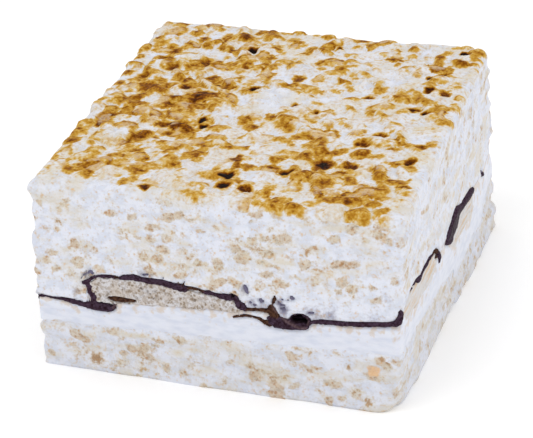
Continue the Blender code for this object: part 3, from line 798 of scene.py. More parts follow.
class Finish:
    """A material being built, with short calls for the nodes that it needs."""

    def __init__(self, name):
        """Start the material with its shader and object coordinates."""
        self.material = bpy.data.materials.new(name)
        self.material.use_nodes = True
        self.tree = self.material.node_tree
        self.shader = self.tree.nodes["Principled BSDF"]
        self.place = self.node("ShaderNodeTexCoord").outputs["Object"]

    def node(self, kind, inputs=(), **settings):
        """A node with its settings, and its inputs set or linked."""
        made = self.tree.nodes.new(kind)
        for key, value in settings.items():
            setattr(made, key, value)
        for key, value in dict(inputs).items():
            self.fill(made.inputs[key], value)
        return made

    def fill(self, socket, value):
        """Set a socket, or link it where the value is another node's output."""
        if isinstance(value, bpy.types.NodeSocket):
            self.tree.links.new(value, socket)
        elif socket.type == "RGBA":
            socket.default_value = (*value, 1.0)
        else:
            socket.default_value = value

    def set(self, **values):
        """Set or link the shader's own sockets."""
        for key, value in values.items():
            self.fill(self.shader.inputs[key.replace("_", " ").replace("Ior", "IOR")], value)

    def value(self, name):
        """A number stored on the mesh."""
        return self.node("ShaderNodeAttribute", attribute_name=name).outputs["Fac"]

    def noise(self, size, detail=2.0, stretch=None):
        """Noise whose patches are about the given size in metres."""
        place = self.place
        if stretch:
            place = self.node("ShaderNodeMapping", {"Vector": place, "Scale": stretch})
            place = place.outputs["Vector"]
        return self.node("ShaderNodeTexNoise", {
            "Vector": place, "Scale": 1.0 / size, "Detail": detail,
        }).outputs["Fac"]

    def pores(self, size):
        """Distance to scattered pore centres about the given size apart."""
        return self.node("ShaderNodeTexVoronoi", {
            "Vector": self.place, "Scale": 1.0 / size,
        }, feature="F1").outputs["Distance"]

    def sum(self, a, b, times=1.0, less=0.0):
        """a plus b times a number, less a number."""
        scaled = self.node("ShaderNodeMath", {0: b, 1: times, 2: -less}, operation="MULTIPLY_ADD")
        return self.node("ShaderNodeMath", {0: a, 1: scaled.outputs[0]}, operation="ADD").outputs[0]

    def product(self, a, b):
        """a times b."""
        return self.node("ShaderNodeMath", {0: a, 1: b}, operation="MULTIPLY").outputs[0]

    def spread(self, value, low, high, to_low=0.0, to_high=1.0):
        """Smooth change from one number to another as a value goes from low to high."""
        return self.node("ShaderNodeMapRange", {
            "Value": value, "From Min": low, "From Max": high,
            "To Min": to_low, "To Max": to_high,
        }, interpolation_type="SMOOTHSTEP").outputs["Result"]

    def mix(self, fac, a, b):
        """Colour a going to colour b with a factor."""
        made = self.node("ShaderNodeMix", {"Factor": fac}, data_type="RGBA")
        for socket, value in zip([s for s in made.inputs if s.type == "RGBA"], (a, b)):
            self.fill(socket, value)
        return next(s for s in made.outputs if s.type == "RGBA")

    def uneven(self, value, noise, times, low, high, most=1.0):
        """0 to most as a value made uneven by noise goes from low to high."""
        return self.spread(self.sum(value, noise, times), low, high, 0.0, most)

    def base(self, share, first, second):
        """Start the finish's colour as one colour going to a second with a share."""
        self.color = self.mix(share, first, second)

    def coat(self, amount, color):
        """Lay a colour over the finish's colour so far."""
        self.color = self.mix(amount, self.color, color)

    def ramp(self, fac, stops):
        """A colour ramp through the given stops."""
        made = self.node("ShaderNodeValToRGB", {"Fac": fac})
        for index, (place, color) in enumerate(stops):
            elements = made.color_ramp.elements
            stop = elements[index] if index < 2 else elements.new(place)
            stop.position = place
            stop.color = (*color, 1.0)
        return made.outputs["Color"]

    def bump(self, height, strength, depth):
        """Fine relief on the shader."""
        made = self.node("ShaderNodeBump", {
            "Height": height, "Strength": strength, "Distance": depth,
        })
        self.set(Normal=made.outputs["Normal"])


def crispy_finish(colours):
    """Puffed rice cut open in cool white marshmallow, browned where it was toasted."""
    finish = Finish("crispy_rice_finish")
    rice, tone, haze, husk, toast, bran, smudge, chip = map(
        finish.value, ("rice", "tone", "haze", "husk", "toast", "bran", "smudge", "chip")
    )
    both = finish.sum(finish.noise(0.95 * MM, 1.0), finish.noise(0.5 * MM, 1.0), 0.6, 0.8)

    # Marshmallow, with painted light and bluish painted shade in broad patches, rice hazy under it
    # and grains cut open.
    painted_light = tinted(colours.marshmallow, (1.07, 1.07, 1.07))
    painted_bluish_shade = tinted(colours.marshmallow, (0.95, 0.965, 0.99))
    # broad mixes the painted light and the painted shade in patches.
    broad = finish.uneven(finish.noise(3.0 * MM, 2.0), both, 0.3, 0.40, 0.62)
    finish.base(broad, painted_light, painted_bluish_shade)
    finish.coat(finish.uneven(haze, both, 0.5, -0.30, 0.80, 0.78), colours.haze)
    cut_open = finish.sum(rice, husk, 0.9)
    finish.coat(finish.uneven(cut_open, both, 0.9, 0.0, 0.95, 0.8), colours.haze)
    pinkish = tinted(colours.rice, (1.0, 0.90, 0.95))
    grain = finish.mix(finish.spread(tone, 0.3, 0.8), colours.rice, pinkish)
    dense = finish.uneven(cut_open, both, 1.6, 0.30, 1.20, 0.30)
    finish.coat(finish.product(finish.spread(tone, 0.4, 0.95), dense), grain)

    # Specks of bran, and grains that are brown to the core.
    patchy = finish.spread(finish.noise(1.5 * MM, 1.0), 0.36, 0.58, 0.35, 1.0)
    large = finish.product(finish.spread(finish.pores(1.05 * MM), 0.18, 0.58, 1.0, 0.0), patchy)
    small = finish.spread(finish.pores(0.55 * MM), 0.16, 0.54, 1.0, 0.0)
    dots = finish.sum(large, small, 0.50)
    speckled = finish.uneven(cut_open, both, 1.2, 0.02, 0.85, 0.85)
    specks = finish.mix(finish.spread(tone, 0.2, 0.9), PALE_BRAN, DEEP_BRAN)
    finish.coat(finish.product(dots, speckled), specks)
    finish.coat(finish.uneven(husk, both, 1.1, 0.48, 0.92, 0.85), colours.husk)

    # Chocolate seen through the marshmallow, and the chip of cracker.
    finish.coat(finish.uneven(smudge, both, 0.7, 0.02, 1.00, 0.9), CHOCOLATE_SMUDGE)
    finish.coat(finish.uneven(chip, both, 1.8, 0.15, 1.05, 0.90), colours.chip)

    # The torched top with its dry grains, and the darker foot of the cuts, where the shade is painted
    # in.
    scorched = finish.ramp(finish.sum(toast, both, 0.55), TOAST_STOPS)
    plate = finish.mix(dots, DRY_GRAIN, colours.toasted_grain)
    top = finish.mix(finish.uneven(bran, both, 1.6, 0.35, 1.1, 0.65), scorched, plate)
    finish.coat(finish.uneven(toast, both, 0.14, -0.01, 0.22), top)
    height = finish.node("ShaderNodeSeparateXYZ", {"Vector": finish.place}).outputs["Z"]
    finish.coat(finish.spread(height, 8.0 * MM, 20.0 * MM, 0.10, 0.0), PAINTED_FOOT_SHADE)

    pitted = finish.product(finish.pores(0.8 * MM), finish.spread(rice, 0.0, 0.6, 0.25, 1.0))
    finish.bump(finish.sum(pitted, both, 1.0), 0.5, 0.45 * MM)
    finish.set(
        Base_Color=finish.color, Roughness=finish.spread(rice, 0.0, 0.8, 0.36, 0.6),
        Subsurface_Weight=0.08, Subsurface_Radius=SCATTER, Subsurface_Scale=0.8 * MM,
        Specular_Ior_Level=0.05, IOR=1.3,
    )
    return finish.material


def marshmallow_finish(colours):
    """Smooth marshmallow, dragged by the knife, with painted light and shade along its streaks."""
    finish = Finish("marshmallow_finish")
    dragged = finish.noise(1.6 * MM, 3.0, (0.45, 0.45, 1.2))
    # Lighter and shaded copies of the marshmallow, mixed along the drag streaks: painted light and
    # painted shade.
    painted_light = tinted(colours.marshmallow, (1.04, 1.04, 1.04))
    shaded = tinted(colours.marshmallow, (0.895, 0.915, 0.955))
    finish.base(finish.spread(dragged, 0.35, 0.75), painted_light, shaded)
    crumbs = finish.sum(finish.value("top"), finish.noise(1.7 * MM, 3.0), 2.4, 1.2)
    finish.coat(finish.spread(crumbs, 0.66, 1.10, 0.0, 0.65), BAND_CRUMBS)
    finish.bump(finish.sum(dragged, finish.noise(0.5 * MM, 3.0), 0.4), 0.25, 0.3 * MM)
    finish.set(
        Base_Color=finish.color, Roughness=0.38, Subsurface_Weight=0.12,
        Subsurface_Radius=SCATTER, Subsurface_Scale=1.2 * MM, Specular_Ior_Level=0.25,
    )
    return finish.material


def chocolate_finish(colours):
    """Melted dark chocolate: matt where the knife dragged it, glossy where it ran."""
    finish = Finish("chocolate_finish")
    gloss = finish.value("gloss")
    fine = finish.noise(0.6 * MM, 2.0)
    speck = finish.noise(0.28 * MM, 1.0)
    dusty = tuple(dust + 1.5 * dark for dust, dark in zip(CHOCOLATE_DUST, colours.chocolate))
    worn = finish.uneven(finish.sum(fine, speck, 0.6), gloss, -0.25, 0.50, 1.00, 0.85)
    finish.base(worn, colours.chocolate, dusty)
    brown = finish.spread(finish.sum(fine, speck, 0.5, 0.25), 0.35, 0.65)
    # Brown of thinner chocolate, and painted shade in the gaps beside it.
    finish.coat(finish.value("brown"), finish.mix(brown, THIN_CHOCOLATE_AND_SHADE, BROWN_CHOCOLATE_AND_SHADE))
    finish.coat(finish.value("veil"), CHOCOLATE_VEIL)
    # Painted highlight along the folds.
    finish.coat(finish.product(finish.value("fold"), fine), PAINTED_FOLD_HIGHLIGHT)
    # Near-black painted shade inside the hollows.
    finish.coat(finish.value("deep"), PAINTED_HOLLOW_SHADE)
    finish.bump(finish.sum(fine, speck, 0.5), 0.6, 0.3 * MM)
    finish.set(
        Base_Color=finish.color, Roughness=finish.spread(gloss, 0.0, 1.0, 0.60, 0.26),
        Specular_Ior_Level=0.05, IOR=1.3,
    )
    return finish.material


def cracker_finish(colours):
    """Open, dry crumb with darker pores, smeared with marshmallow where it was cut."""
    finish = Finish("graham_cracker_finish")
    pores = finish.pores(0.95 * MM)
    fine = finish.noise(0.42 * MM, 3.0)
    broad = finish.noise(2.2 * MM, 2.0)
    pale = tinted(colours.crumb, (1.09, 1.09, 1.09))
    warm = tinted(colours.crumb, (0.97, 0.89, 0.79))
    finish.base(finish.spread(broad, 0.40, 0.68), pale, warm)
    mottled = finish.spread(finish.noise(0.9 * MM, 2.0), 0.48, 0.64, 0.0, 0.65)
    finish.coat(mottled, CRACKER_MOTTLE)
    large = finish.spread(finish.sum(pores, fine, 0.6, 0.30), 0.12, 0.50, 1.0, 0.0)
    small = finish.sum(finish.pores(0.5 * MM), fine, 0.6, 0.30)
    dots = finish.sum(large, finish.spread(small, 0.10, 0.52, 0.55, 0.0))
    finish.coat(finish.product(dots, finish.spread(broad, 0.30, 0.55, 0.55, 1.0)), colours.crust)
    # Painted shade darkening the crumb's open pits.
    finish.coat(finish.spread(finish.value("pit"), 0.45, 1.1, 0.0, 0.7), PAINTED_PIT_SHADE)
    streaks = finish.noise(1.1 * MM, 2.0, (1.0, 0.15, 1.6))
    smeared = finish.mix(finish.spread(streaks, 0.44, 0.70), SMEAR_WHITE, SMEAR_TAN)
    smear = finish.sum(finish.value("smear"), broad, 1.2, 0.6)
    finish.coat(finish.spread(smear, 0.1, 0.9, 0.0, 0.95), smeared)
    finish.bump(finish.sum(pores, fine, 0.8), 0.7, 0.4 * MM)
    finish.set(Base_Color=finish.color, Roughness=0.8, Specular_Ior_Level=0.2)
    return finish.material


class Workshop:
    """What the operators share, made when the first of them asks for it."""

    made = None

    def __init__(self, scene):
        """Read the settings, lay the outline and the rice, and mix the finishes."""
        self.sizes = scene.treat_sizes
        self.seed = self.sizes.seed
        self.outline = Outline(self.sizes)
        self.rice = Grains(self.seed, GRAIN_PITCH, GRAIN_HALF)
        self.crispy = crispy_finish(scene.treat_colours)
        self.soft = marshmallow_finish(scene.treat_colours)
        self.dark = chocolate_finish(scene.treat_colours)
        self.crumb = cracker_finish(scene.treat_colours)


def workshop():
    """The shared workshop."""
    if Workshop.made is None:
        Workshop.made = Workshop(bpy.context.scene)
    return Workshop.made


def place_round(points):
    """Where points near the cuts lie, measured round the block, in millimetres."""
    x, y = points[:, 0] / MM, points[:, 1] / MM
    half_x, half_y = WIDTH / 2 / MM, DEPTH / 2 / MM
    gaps = np.stack([y + half_y, half_x - x, half_y - y, x + half_x])
    runs = np.stack([
        x, half_x + y + half_y, 3 * half_x + 2 * half_y - x, 3 * half_x + 4 * half_y - y + half_y
    ])
    return np.take_along_axis(runs, gaps.argmin(axis=0)[None], axis=0)[0]


def plainness(points):
    """How far each point of a cut lies in a stretch of plain marshmallow, 0 to 1."""
    run = place_round(points)
    level = np.zeros(len(points))
    for place, height, reach, tall in PLAIN_PATCHES:
        gap = np.hypot((run - place) / reach, (points[:, 2] / MM - height) / tall)
        level = np.maximum(level, 1.0 - ease(gap, 0.6, 1.15))
    return level


def close_inwards(points, ring, plane):
    """Draw the rings of a hidden cap in from the cuts, and level them to a plane."""
    inward = np.concatenate([[0.0], CAP_RINGS])[ring]
    points[:, 0] *= 1.0 - inward / (WIDTH / 2)
    points[:, 1] *= 1.0 - inward / (DEPTH / 2)
    points[:, 2] += (plane - points[:, 2]) * ease(inward, 0.0, CAP_RINGS[-1])


def block_mesh(name, wall_rows, face_up, face_z, rim, plane, squash=1.0):
    """A block: one dense face at a height, walls to its rim and a hidden cap.

    rim is the height along the outline where the walls end, plane that of the cap, and
    squash how tall the rounding at the face's edges is for its width.
    """
    outline = workshop().outline
    mesh, i, j, row = draped_mesh(name, outline.nx, outline.ny, wall_rows + len(CAP_RINGS))
    if not face_up:
        mesh.flip_normals()
    flat = np.stack([outline.xs[i], outline.ys[j], np.zeros(len(i))], axis=1)
    short = np.clip(outline.radius - from_cuts(flat), 0.0, None)
    drop = outline.radius - np.sqrt(np.clip(outline.radius ** 2 - short ** 2, 0.0, None))
    drop *= squash
    way = 1.0 if face_up else -1.0
    spot = np.array([outline.order.get(key, 0) for key in zip(i, j)])
    start = face_z - way * outline.radius * squash
    share = np.clip(row / wall_rows, 0.0, 1.0)
    wall_z = start + (rim[spot] - start) * share
    flat[:, 2] = np.where(row == 0, face_z - way * drop, wall_z)
    points = settle(flat)
    ring = np.clip(row - wall_rows, 0, len(CAP_RINGS))
    close_inwards(points, ring, plane)
    set_points(mesh, points)
    return mesh, points, ring > 0, np.where(row == 0, HEIGHT, np.abs(wall_z - rim[spot]))


def stroke_depth(run, height, strokes):
    """How deep each point lies inside the nearest of some strokes, in millimetres."""
    deepest = np.full(len(run), -9.0)
    for stroke in strokes:
        for (x0, z0, r0), (x1, z1, r1) in zip(stroke, stroke[1:]):
            along = np.array((x1 - x0, z1 - z0))
            length = max(along @ along, 1e-6)
            share = np.clip(((run - x0) * along[0] + (height - z0) * along[1]) / length, 0, 1)
            gap = np.hypot(run - x0 - along[0] * share, height - z0 - along[1] * share)
            deepest = np.maximum(deepest, r0 + (r1 - r0) * share - gap)
    return deepest


def room_for_chocolate(points):
    """How far points of the cuts step back behind the chocolate and its hollows."""
    run, height = place_round(points), points[:, 2] / MM
    near = (height > LOW_STEP_BACK) & (height < HIGH_STEP_BACK) & (run < LAST_STEP_BACK)
    run, height = run[near], height[near]
    body = stroke_depth(run, height, CHOCOLATE_STROKES + BROWN_AND_SHADE_STROKES + VEILED_STROKES)
    hollow = ease(stroke_depth(run, height, CHOCOLATE_HOLLOWS), -0.40, 0.05)
    room = np.zeros(len(points))
    room[near] = BEHIND_CHOCOLATE * ease(body, -0.30, 0.10) + BEHIND_HOLLOWS * hollow
    return room * MM


def spots_in_cuts(points, seed):
    """How much each point lies in a brown grain of the front cut, and in the cracker chip."""
    run, height = place_round(points), points[:, 2] / MM
    aside, above = bends(points, 0.9 * MM, seed, 2).T * 0.30
    level = spot_level(run + aside, height + above, GRAIN_SPOTS, 2.4)
    place, middle, long, tall = CRACKER_CHIP
    across, up = (run + 1.6 * aside - place) / long, (height + above - middle) / tall
    gap = (np.abs(across) ** 3 + np.abs(up) ** 3) ** (1 / 3)
    return level, 1.0 - ease(gap, 0.85, 1.15)


def smudges(points, seed):
    """How much chocolate shows dimly through the marshmallow at each point of the front."""
    run, height = place_round(points), points[:, 2] / MM
    aside, above = bends(points, 1.2 * MM, seed, 2).T * 0.5
    return spot_level(run + aside, height + above, SMUDGES, 2.0)


def dress_rice(mesh, points, hidden, joint_gap, seed, out_on_face, on_face, more, **extra):
    """Give a block its cut rice: relief along its normals and the values its finish reads.

    joint_gap is how far each point lies from the layer beside the block, out_on_face the
    relief where on_face is 1, and more how much more of the rice lies open.
    """
    shop = workshop()
    normals = point_normals(mesh)
    inside, tone = shop.rice.read(points, seed)
    wobble = lattice_noise(points, 1.7 * MM, seed + 24) * 0.7 * MM
    plain = np.maximum(plainness(points), 1.0 - ease(joint_gap + wobble, 0.3 * MM, 1.9 * MM))
    open_cut = (1.0 - plain) * (1.0 - on_face)
    gather = layered_noise(points, 8.0 * MM, seed + 23, 2)
    bare = ease(tone + 0.42 * gather + more, 0.38, 0.80)
    aside = ease(points[:, 0], WIDTH / 2 - 2.0 * MM, WIDTH / 2 - 0.5 * MM)
    section = ease(inside, -0.12, 0.35) * bare * open_cut * (1.0 - 0.35 * aside)
    stretched = points * (0.4, 0.4, 1.0)
    haze = layered_noise(stretched, 1.7 * MM, seed + 20) + 0.25 * gather + more - 0.09
    lumps = layered_noise(stretched, 1.5 * MM, seed + 21) * 0.22 * MM
    ridges = lattice_noise(points * (0.12, 0.12, 1.0), 1.5 * MM, seed + 25) * 0.42 * MM
    off_corner = WIDTH / 2 - np.abs(points[:, 0]) + DEPTH / 2 - np.abs(points[:, 1])
    ridges *= 1.0 + 0.9 * np.exp(-(off_corner / (2.5 * MM)) ** 2)
    pores = 1.0 - ease(pore_noise(points, 1.0 * MM, seed + 22), 0.15, 0.5)
    cut = lumps + ridges + section * ((tone - 0.5) * 0.40 * MM - pores * 0.45 * MM)
    calm = ease(joint_gap, 0.3 * MM, 1.6 * MM)
    out = cut * calm * (1.0 - on_face) + out_on_face * on_face + cut_wave(points, shop.seed)
    room = room_for_chocolate(points)
    out = np.where(hidden, 0.0, out - room)
    placed = points + normals * out[:, None]
    placed[hidden, 1] += room[hidden]
    placed[:, 2] = np.maximum(placed[:, 2], 0.0)
    set_points(mesh, placed)
    husk, chip = spots_in_cuts(points, seed + 26)
    smudge = smudges(points, seed + 27)
    hazes = haze * open_cut - 0.6 * (1.0 - open_cut) * (1.0 - on_face) + (0.1 + haze) * on_face
    add_values(
        mesh, rice=section, tone=tone, haze=hazes, husk=husk * (1.0 - on_face),
        chip=chip * (points[:, 2] < 14.0 * MM), smudge=smudge * (1.0 - on_face), **extra,
    )


def toasting(points, within, tone, kind, back, seed):
    """How brown each point of the top is, how much of a dry grain it is, and how burnt.

    within is how deep inside the nearest blister a point lies, tone and kind are that
    blister's, and back is how far to the back of it the point is.
    """
    fired = torch(points, seed + 95)
    spots = burnt(points, seed + 97)
    patch = lattice_noise(points, 3.2 * MM, seed + 100)
    grit = layered_noise(points, 1.3 * MM, seed + 101, 2)

    # Brown islands, wider where the torch was, in a faint blush.
    depth = within + 0.80 * (tone - 0.5) + 0.22 * patch + 0.10 * grit + 1.2 * (fired - 0.50)
    island = ease(depth, -0.22, 0.42)
    blush = 0.075 * ease(depth, -0.75, 0.0)

    # Darker cores, rims of some blisters, mostly at their backs, and others all over.
    core = ease(lattice_noise(points, 1.5 * MM, seed + 103), 0.15, 0.80) * ease(depth, -0.1, 0.5)
    rimmed = np.exp(-((within - 0.12) / 0.16) ** 2) * (kind > 0.45)
    capped = rimmed * ease(back, 0.1, 0.9)
    ripe = ease(within, 0.0, 0.55) * (kind < 0.45)
    heat = 0.125 + 0.14 * patch + 0.20 * grit + 0.34 * (tone - 0.5) + 0.60 * (fired - TORCH_BASE)
    heat += 0.08 * rimmed + 0.24 * capped + 0.16 * core + 0.15 * ripe
    heat -= 0.11 * (1.0 - ease(within, -0.15, 0.20))
    toast = np.maximum(island * np.clip(heat, 0.05, 0.74), blush)
    bran = ease(within + 0.3 * grit, 0.12, 0.60) * (kind > 0.68) * (1.0 - ease(spots, 0.1, 0.4))
    return np.maximum(toast, 1.12 * spots), ease(fired, 0.02, 0.2), bran, spots


class TREAT_OT_upper_block(bpy.types.Operator):
    """Upper block of puffed rice in marshmallow, with its torch-toasted top"""

    bl_idname = "treat.upper_block"
    bl_label = "Upper block"

    WALL_ROWS = 60

    def execute(self, context):
        """Model the block, its blisters and its toasting."""
        shop = workshop()
        seed = shop.seed
        rim = shop.outline.seam
        mesh, points, hidden, joint_gap = block_mesh(
            "upper_block_cut", self.WALL_ROWS, True, TOP_SKIN, rim, rim.max() + 1.0 * MM
        )
        blisters = Blisters(seed + 60, shop.sizes.blister_height)
        rise, within, tone, kind, back = blisters.read(points, seed + 70)
        edge_noise = layered_noise(points, 2.2 * MM, seed + 71)
        level = points[:, 2] - TOP_SKIN + edge_noise * 0.8 * MM
        on_top = ease(level, -1.3 * MM, -0.2 * MM) * (~hidden)
        toast, reached, bran, spots = toasting(points, within, tone, kind, back, seed)
        skin = layered_noise(points, 1.3 * MM, seed + 90) * 0.12 * MM
        face_out = rise + skin - 0.35 * MM * ease(spots, 0.2, 0.7)
        dress_rice(
            mesh, points, hidden, joint_gap, seed + 40, face_out, on_top, 0.04,
            toast=toast * on_top * reached, bran=bran * on_top,
        )
        to_piece(mesh, shop.crispy, "upper_crispy_block")
        return {"FINISHED"}


class TREAT_OT_lower_block(bpy.types.Operator):
    """Lower block of puffed rice in marshmallow"""

    bl_idname = "treat.lower_block"
    bl_label = "Lower block"

    WALL_ROWS = 30

    def execute(self, context):
        """Model the block with its cut rice."""
        shop = workshop()
        rim = shop.outline.rice_top + 0.4 * MM
        mesh, points, hidden, joint_gap = block_mesh(
            "lower_block_cut", self.WALL_ROWS, False, 0.0, rim, rim.min() - 1.0 * MM, 0.25
        )
        under = 1.0 - ease(points[:, 2], 0.1 * MM, 1.2 * MM)
        uneven = 0.12 * MM + 0.8 * MM * ease(points[:, 0], WIDTH / 2 - 4.0 * MM, WIDTH / 2)
        lift = ease(layered_noise(points, 3.8 * MM, shop.seed + 150), -0.15, 0.45) * uneven
        edge = 1.0 - ease(from_cuts(points), 0.5 * MM, 2.5 * MM)
        points[:, 2] += lift * edge * under
        none = np.zeros(len(points))
        dress_rice(
            mesh, points, hidden, joint_gap, shop.seed + 140, none, under * (1.0 - edge), 0.14,
            toast=none, bran=none,
        )
        to_piece(mesh, shop.crispy, "lower_crispy_block")
        return {"FINISHED"}


def band_mesh(name, rows, low, high):
    """A layer between two heights along the outline, closed by hidden caps."""
    outline = workshop().outline
    bm = bmesh.new()
    bmesh.ops.create_circle(bm, segments=len(outline.flat), radius=1.0)
    for index, vert in enumerate(bm.verts):
        vert.co = (index, 0.0, 0.0)
    rings = len(CAP_RINGS)
    start = bm.edges[:]
    end = drape(bm, start, rows + 2 * rings)
    bmesh.ops.contextual_create(bm, geom=start)
    bmesh.ops.contextual_create(bm, geom=end)
    keys = np.array([(round(vert.co.x), round(-vert.co.z)) for vert in bm.verts])
    spot, step = keys.T
    ring = np.maximum(rings - step, step - rings - rows).clip(0)
    share = np.clip((step - rings) / rows, 0.0, 1.0)
    flat = outline.flat[spot].copy()
    flat[:, 2] = low[spot] + (high[spot] - low[spot]) * share
    points = settle(flat)
    middle = (low.mean() + high.mean()) / 2
    plane = np.where(step > rings, middle + CAP_GAP / 2, middle - CAP_GAP / 2)
    close_inwards(points, ring, plane)
    for vert, place in zip(bm.verts, points):
        vert.co = place
    bmesh.ops.recalc_face_normals(bm, faces=bm.faces[:])
    mesh = finished_mesh(bm, name)
    return mesh, points, spot, share, ring > 0, outward_ways(outline.flat[spot])


class TREAT_OT_marshmallow(bpy.types.Operator):
    """Smooth marshmallow layer under the filling"""

    bl_idname = "treat.marshmallow"
    bl_label = "Marshmallow layer"

    def execute(self, context):
        """Model the layer."""
        shop = workshop()
        outline = shop.outline
        low = outline.rice_top - 0.2 * MM
        high = np.maximum(outline.soft_top, low + 1.0 * MM)
        mesh, points, spot, share, hidden, ways = band_mesh("marshmallow_band", 16, low, high)
        dragged = points * (0.3, 0.3, 1.0)
        out = layered_noise(dragged, 1.1 * MM, shop.seed + 200) * 0.14 * MM
        out += cut_wave(points, shop.seed) + 0.03 * MM
        groove = 0.5 * MM * (outline.place[spot] < WIDTH / 2)
        out -= groove * ease(share, 0.86, 1.0) ** 2
        out = np.where(hidden, 0.0, out) - room_for_chocolate(points)
        set_points(mesh, points + ways * out[:, None])
        add_values(mesh, top=share)
        to_piece(mesh, shop.soft, "marshmallow_layer")
        return {"FINISHED"}


def on_cut(run, height):
    """Points of a flat sheet with the cuts unrolled on it, for noise."""
    return np.stack([run, np.zeros(len(run)), height], axis=1) * MM


def cut_patch(name, first, last, low, high, shape):
    """A closed patch on the cuts, fine enough for small forms.

    first and last are places round the block and low and high are heights, in
    millimetres. shape gives how far out each point stands, from place and height.
    """
    shop = workshop()
    cell = shop.sizes.fine_cell / MM
    columns, rows = math.ceil((last - first) / cell), math.ceil((high - low) / cell)
    mesh, i, j, row = draped_mesh(name, columns, rows, len(PATCH_DEPTHS) - 1)
    run = first + (last - first) * i / columns
    height = low + (high - low) * j / rows
    flat = round_the_block(run * MM)
    flat[:, 2] = height * MM
    ways = outward_ways(flat)
    points = settle(flat)
    out = shape(run, height) + cut_wave(points, shop.seed)
    out -= np.array(PATCH_DEPTHS)[row] * MM
    set_points(mesh, points + ways * out[:, None])
    bm = bmesh.new()
    bm.from_mesh(mesh)
    bmesh.ops.recalc_face_normals(bm, faces=bm.faces[:])
    bm.to_mesh(mesh)
    bm.free()
    return mesh, run, height


class TREAT_OT_chocolate(bpy.types.Operator):
    """Melted chocolate over the crackers"""

    bl_idname = "treat.chocolate"
    bl_label = "Chocolate"

    HIDE = 0.7 * MM

    def execute(self, context):
        """Model the sheet inside the block and what its cuts show."""
        shop = workshop()
        outline = shop.outline
        mesh, points, spot, share, hidden, ways = band_mesh(
            "chocolate_sheet", 8, outline.dark_low, outline.dark_top
        )
        thick = outline.dark_top[spot] - outline.dark_low[spot]
        lip = np.sqrt(np.clip(1.0 - (2.0 * share - 1.0) ** 4, 0.0, 1.0))
        out = shop.sizes.chocolate_proud * lip
        out += layered_noise(points, 1.4 * MM, shop.seed + 300) * 0.10 * MM
        sunk = outline.shown[spot] | (thick < 0.3 * MM)
        out = np.where(sunk, -2.0 * MM, out + cut_wave(points, shop.seed))
        set_points(mesh, points + ways * np.where(hidden, 0.0, out)[:, None])
        none = np.zeros(len(points))
        add_values(mesh, gloss=0.3 * lip, brown=none, veil=none, fold=none, deep=none)
        to_piece(mesh, shop.dark, "chocolate_layer")
        self.cut_face(shop)
        return {"FINISHED"}

    def cut_face(self, shop):
        """Model the chocolate on the front and right-hand cuts, stroke by stroke."""
        proud = shop.sizes.chocolate_proud
        seed = shop.seed + 320

        def depths(run, height):
            spots = on_cut(run, height)
            wobble = layered_noise(spots, 0.9 * MM, seed) * 0.24
            wobble += lattice_noise(spots, 0.5 * MM, seed + 4) * 0.10
            wobble += lattice_noise(spots, 3.0 * MM, seed + 1) * 0.10
            dark, brown, veiled, hollow = (
                stroke_depth(run, height, strokes) + wobble * share
                for strokes, share in (
                    (CHOCOLATE_STROKES, 1.0), (BROWN_AND_SHADE_STROKES, 0.7),
                    (VEILED_STROKES, 0.4), (CHOCOLATE_HOLLOWS, 0.3),
                )
            )
            fold = stroke_depth(run, height, CHOCOLATE_FOLDS)
            return spots, dark, brown, veiled, hollow, fold

        def shape(run, height):
            spots, dark, brown, veiled, hollow, fold = depths(run, height)
            body = np.maximum(np.maximum(dark, brown), np.maximum(veiled, hollow + 0.2))
            out = -self.HIDE + (self.HIDE + proud) * ease(body, -0.16, 0.22)
            out += 0.30 * MM * ease(dark, 0.1, 1.2)
            out -= 0.30 * MM * ease(np.minimum(brown - dark, brown), 0.2, 0.9)
            out += 0.28 * MM * ease(fold, -0.25, 0.2) * (body > 0.0)
            out += layered_noise(spots, 0.8 * MM, seed + 2) * 0.10 * MM * ease(body, 0.0, 0.3)
            return out - 2.0 * MM * ease(hollow, -0.20, 0.40)

        mesh, run, height = cut_patch("melted_chocolate", *CHOCOLATE_STRETCH, shape)
        _, dark, brown, veiled, hollow, fold = depths(run, height)
        # deep is how much painted shade fills a hollow; it also makes it glossy.
        deep = ease(hollow, -0.20, 0.15)
        folded = ease(fold, -0.25, 0.15)
        add_values(
            mesh, gloss=np.maximum(np.maximum(folded, 0.8 * deep), 0.6 * ease(dark, 0.4, 1.2)),
            brown=ease(brown - dark, -0.10, 0.15),
            veil=ease(veiled - np.maximum(dark, brown), 0.0, 0.35) * 0.8,
            fold=folded * (1.0 - deep), deep=deep,
        )
        to_piece(mesh, shop.dark, "chocolate_layer")


def crumb_pits(spots, seed):
    """Open pores of a cracker's crumb: the large ones, and the fine ones between."""
    bent = spots + bends(spots, 0.8 * MM, seed + 5, 3) * 0.35 * MM
    large = 1.0 - ease(pore_noise(bent, 1.25 * MM, seed + 1), 0.08, 0.46)
    large *= ease(layered_noise(spots, 1.8 * MM, seed + 2), -0.25, 0.30)
    return large, ease(layered_noise(spots, 0.75 * MM, seed + 3, 2), 0.0, 0.75)


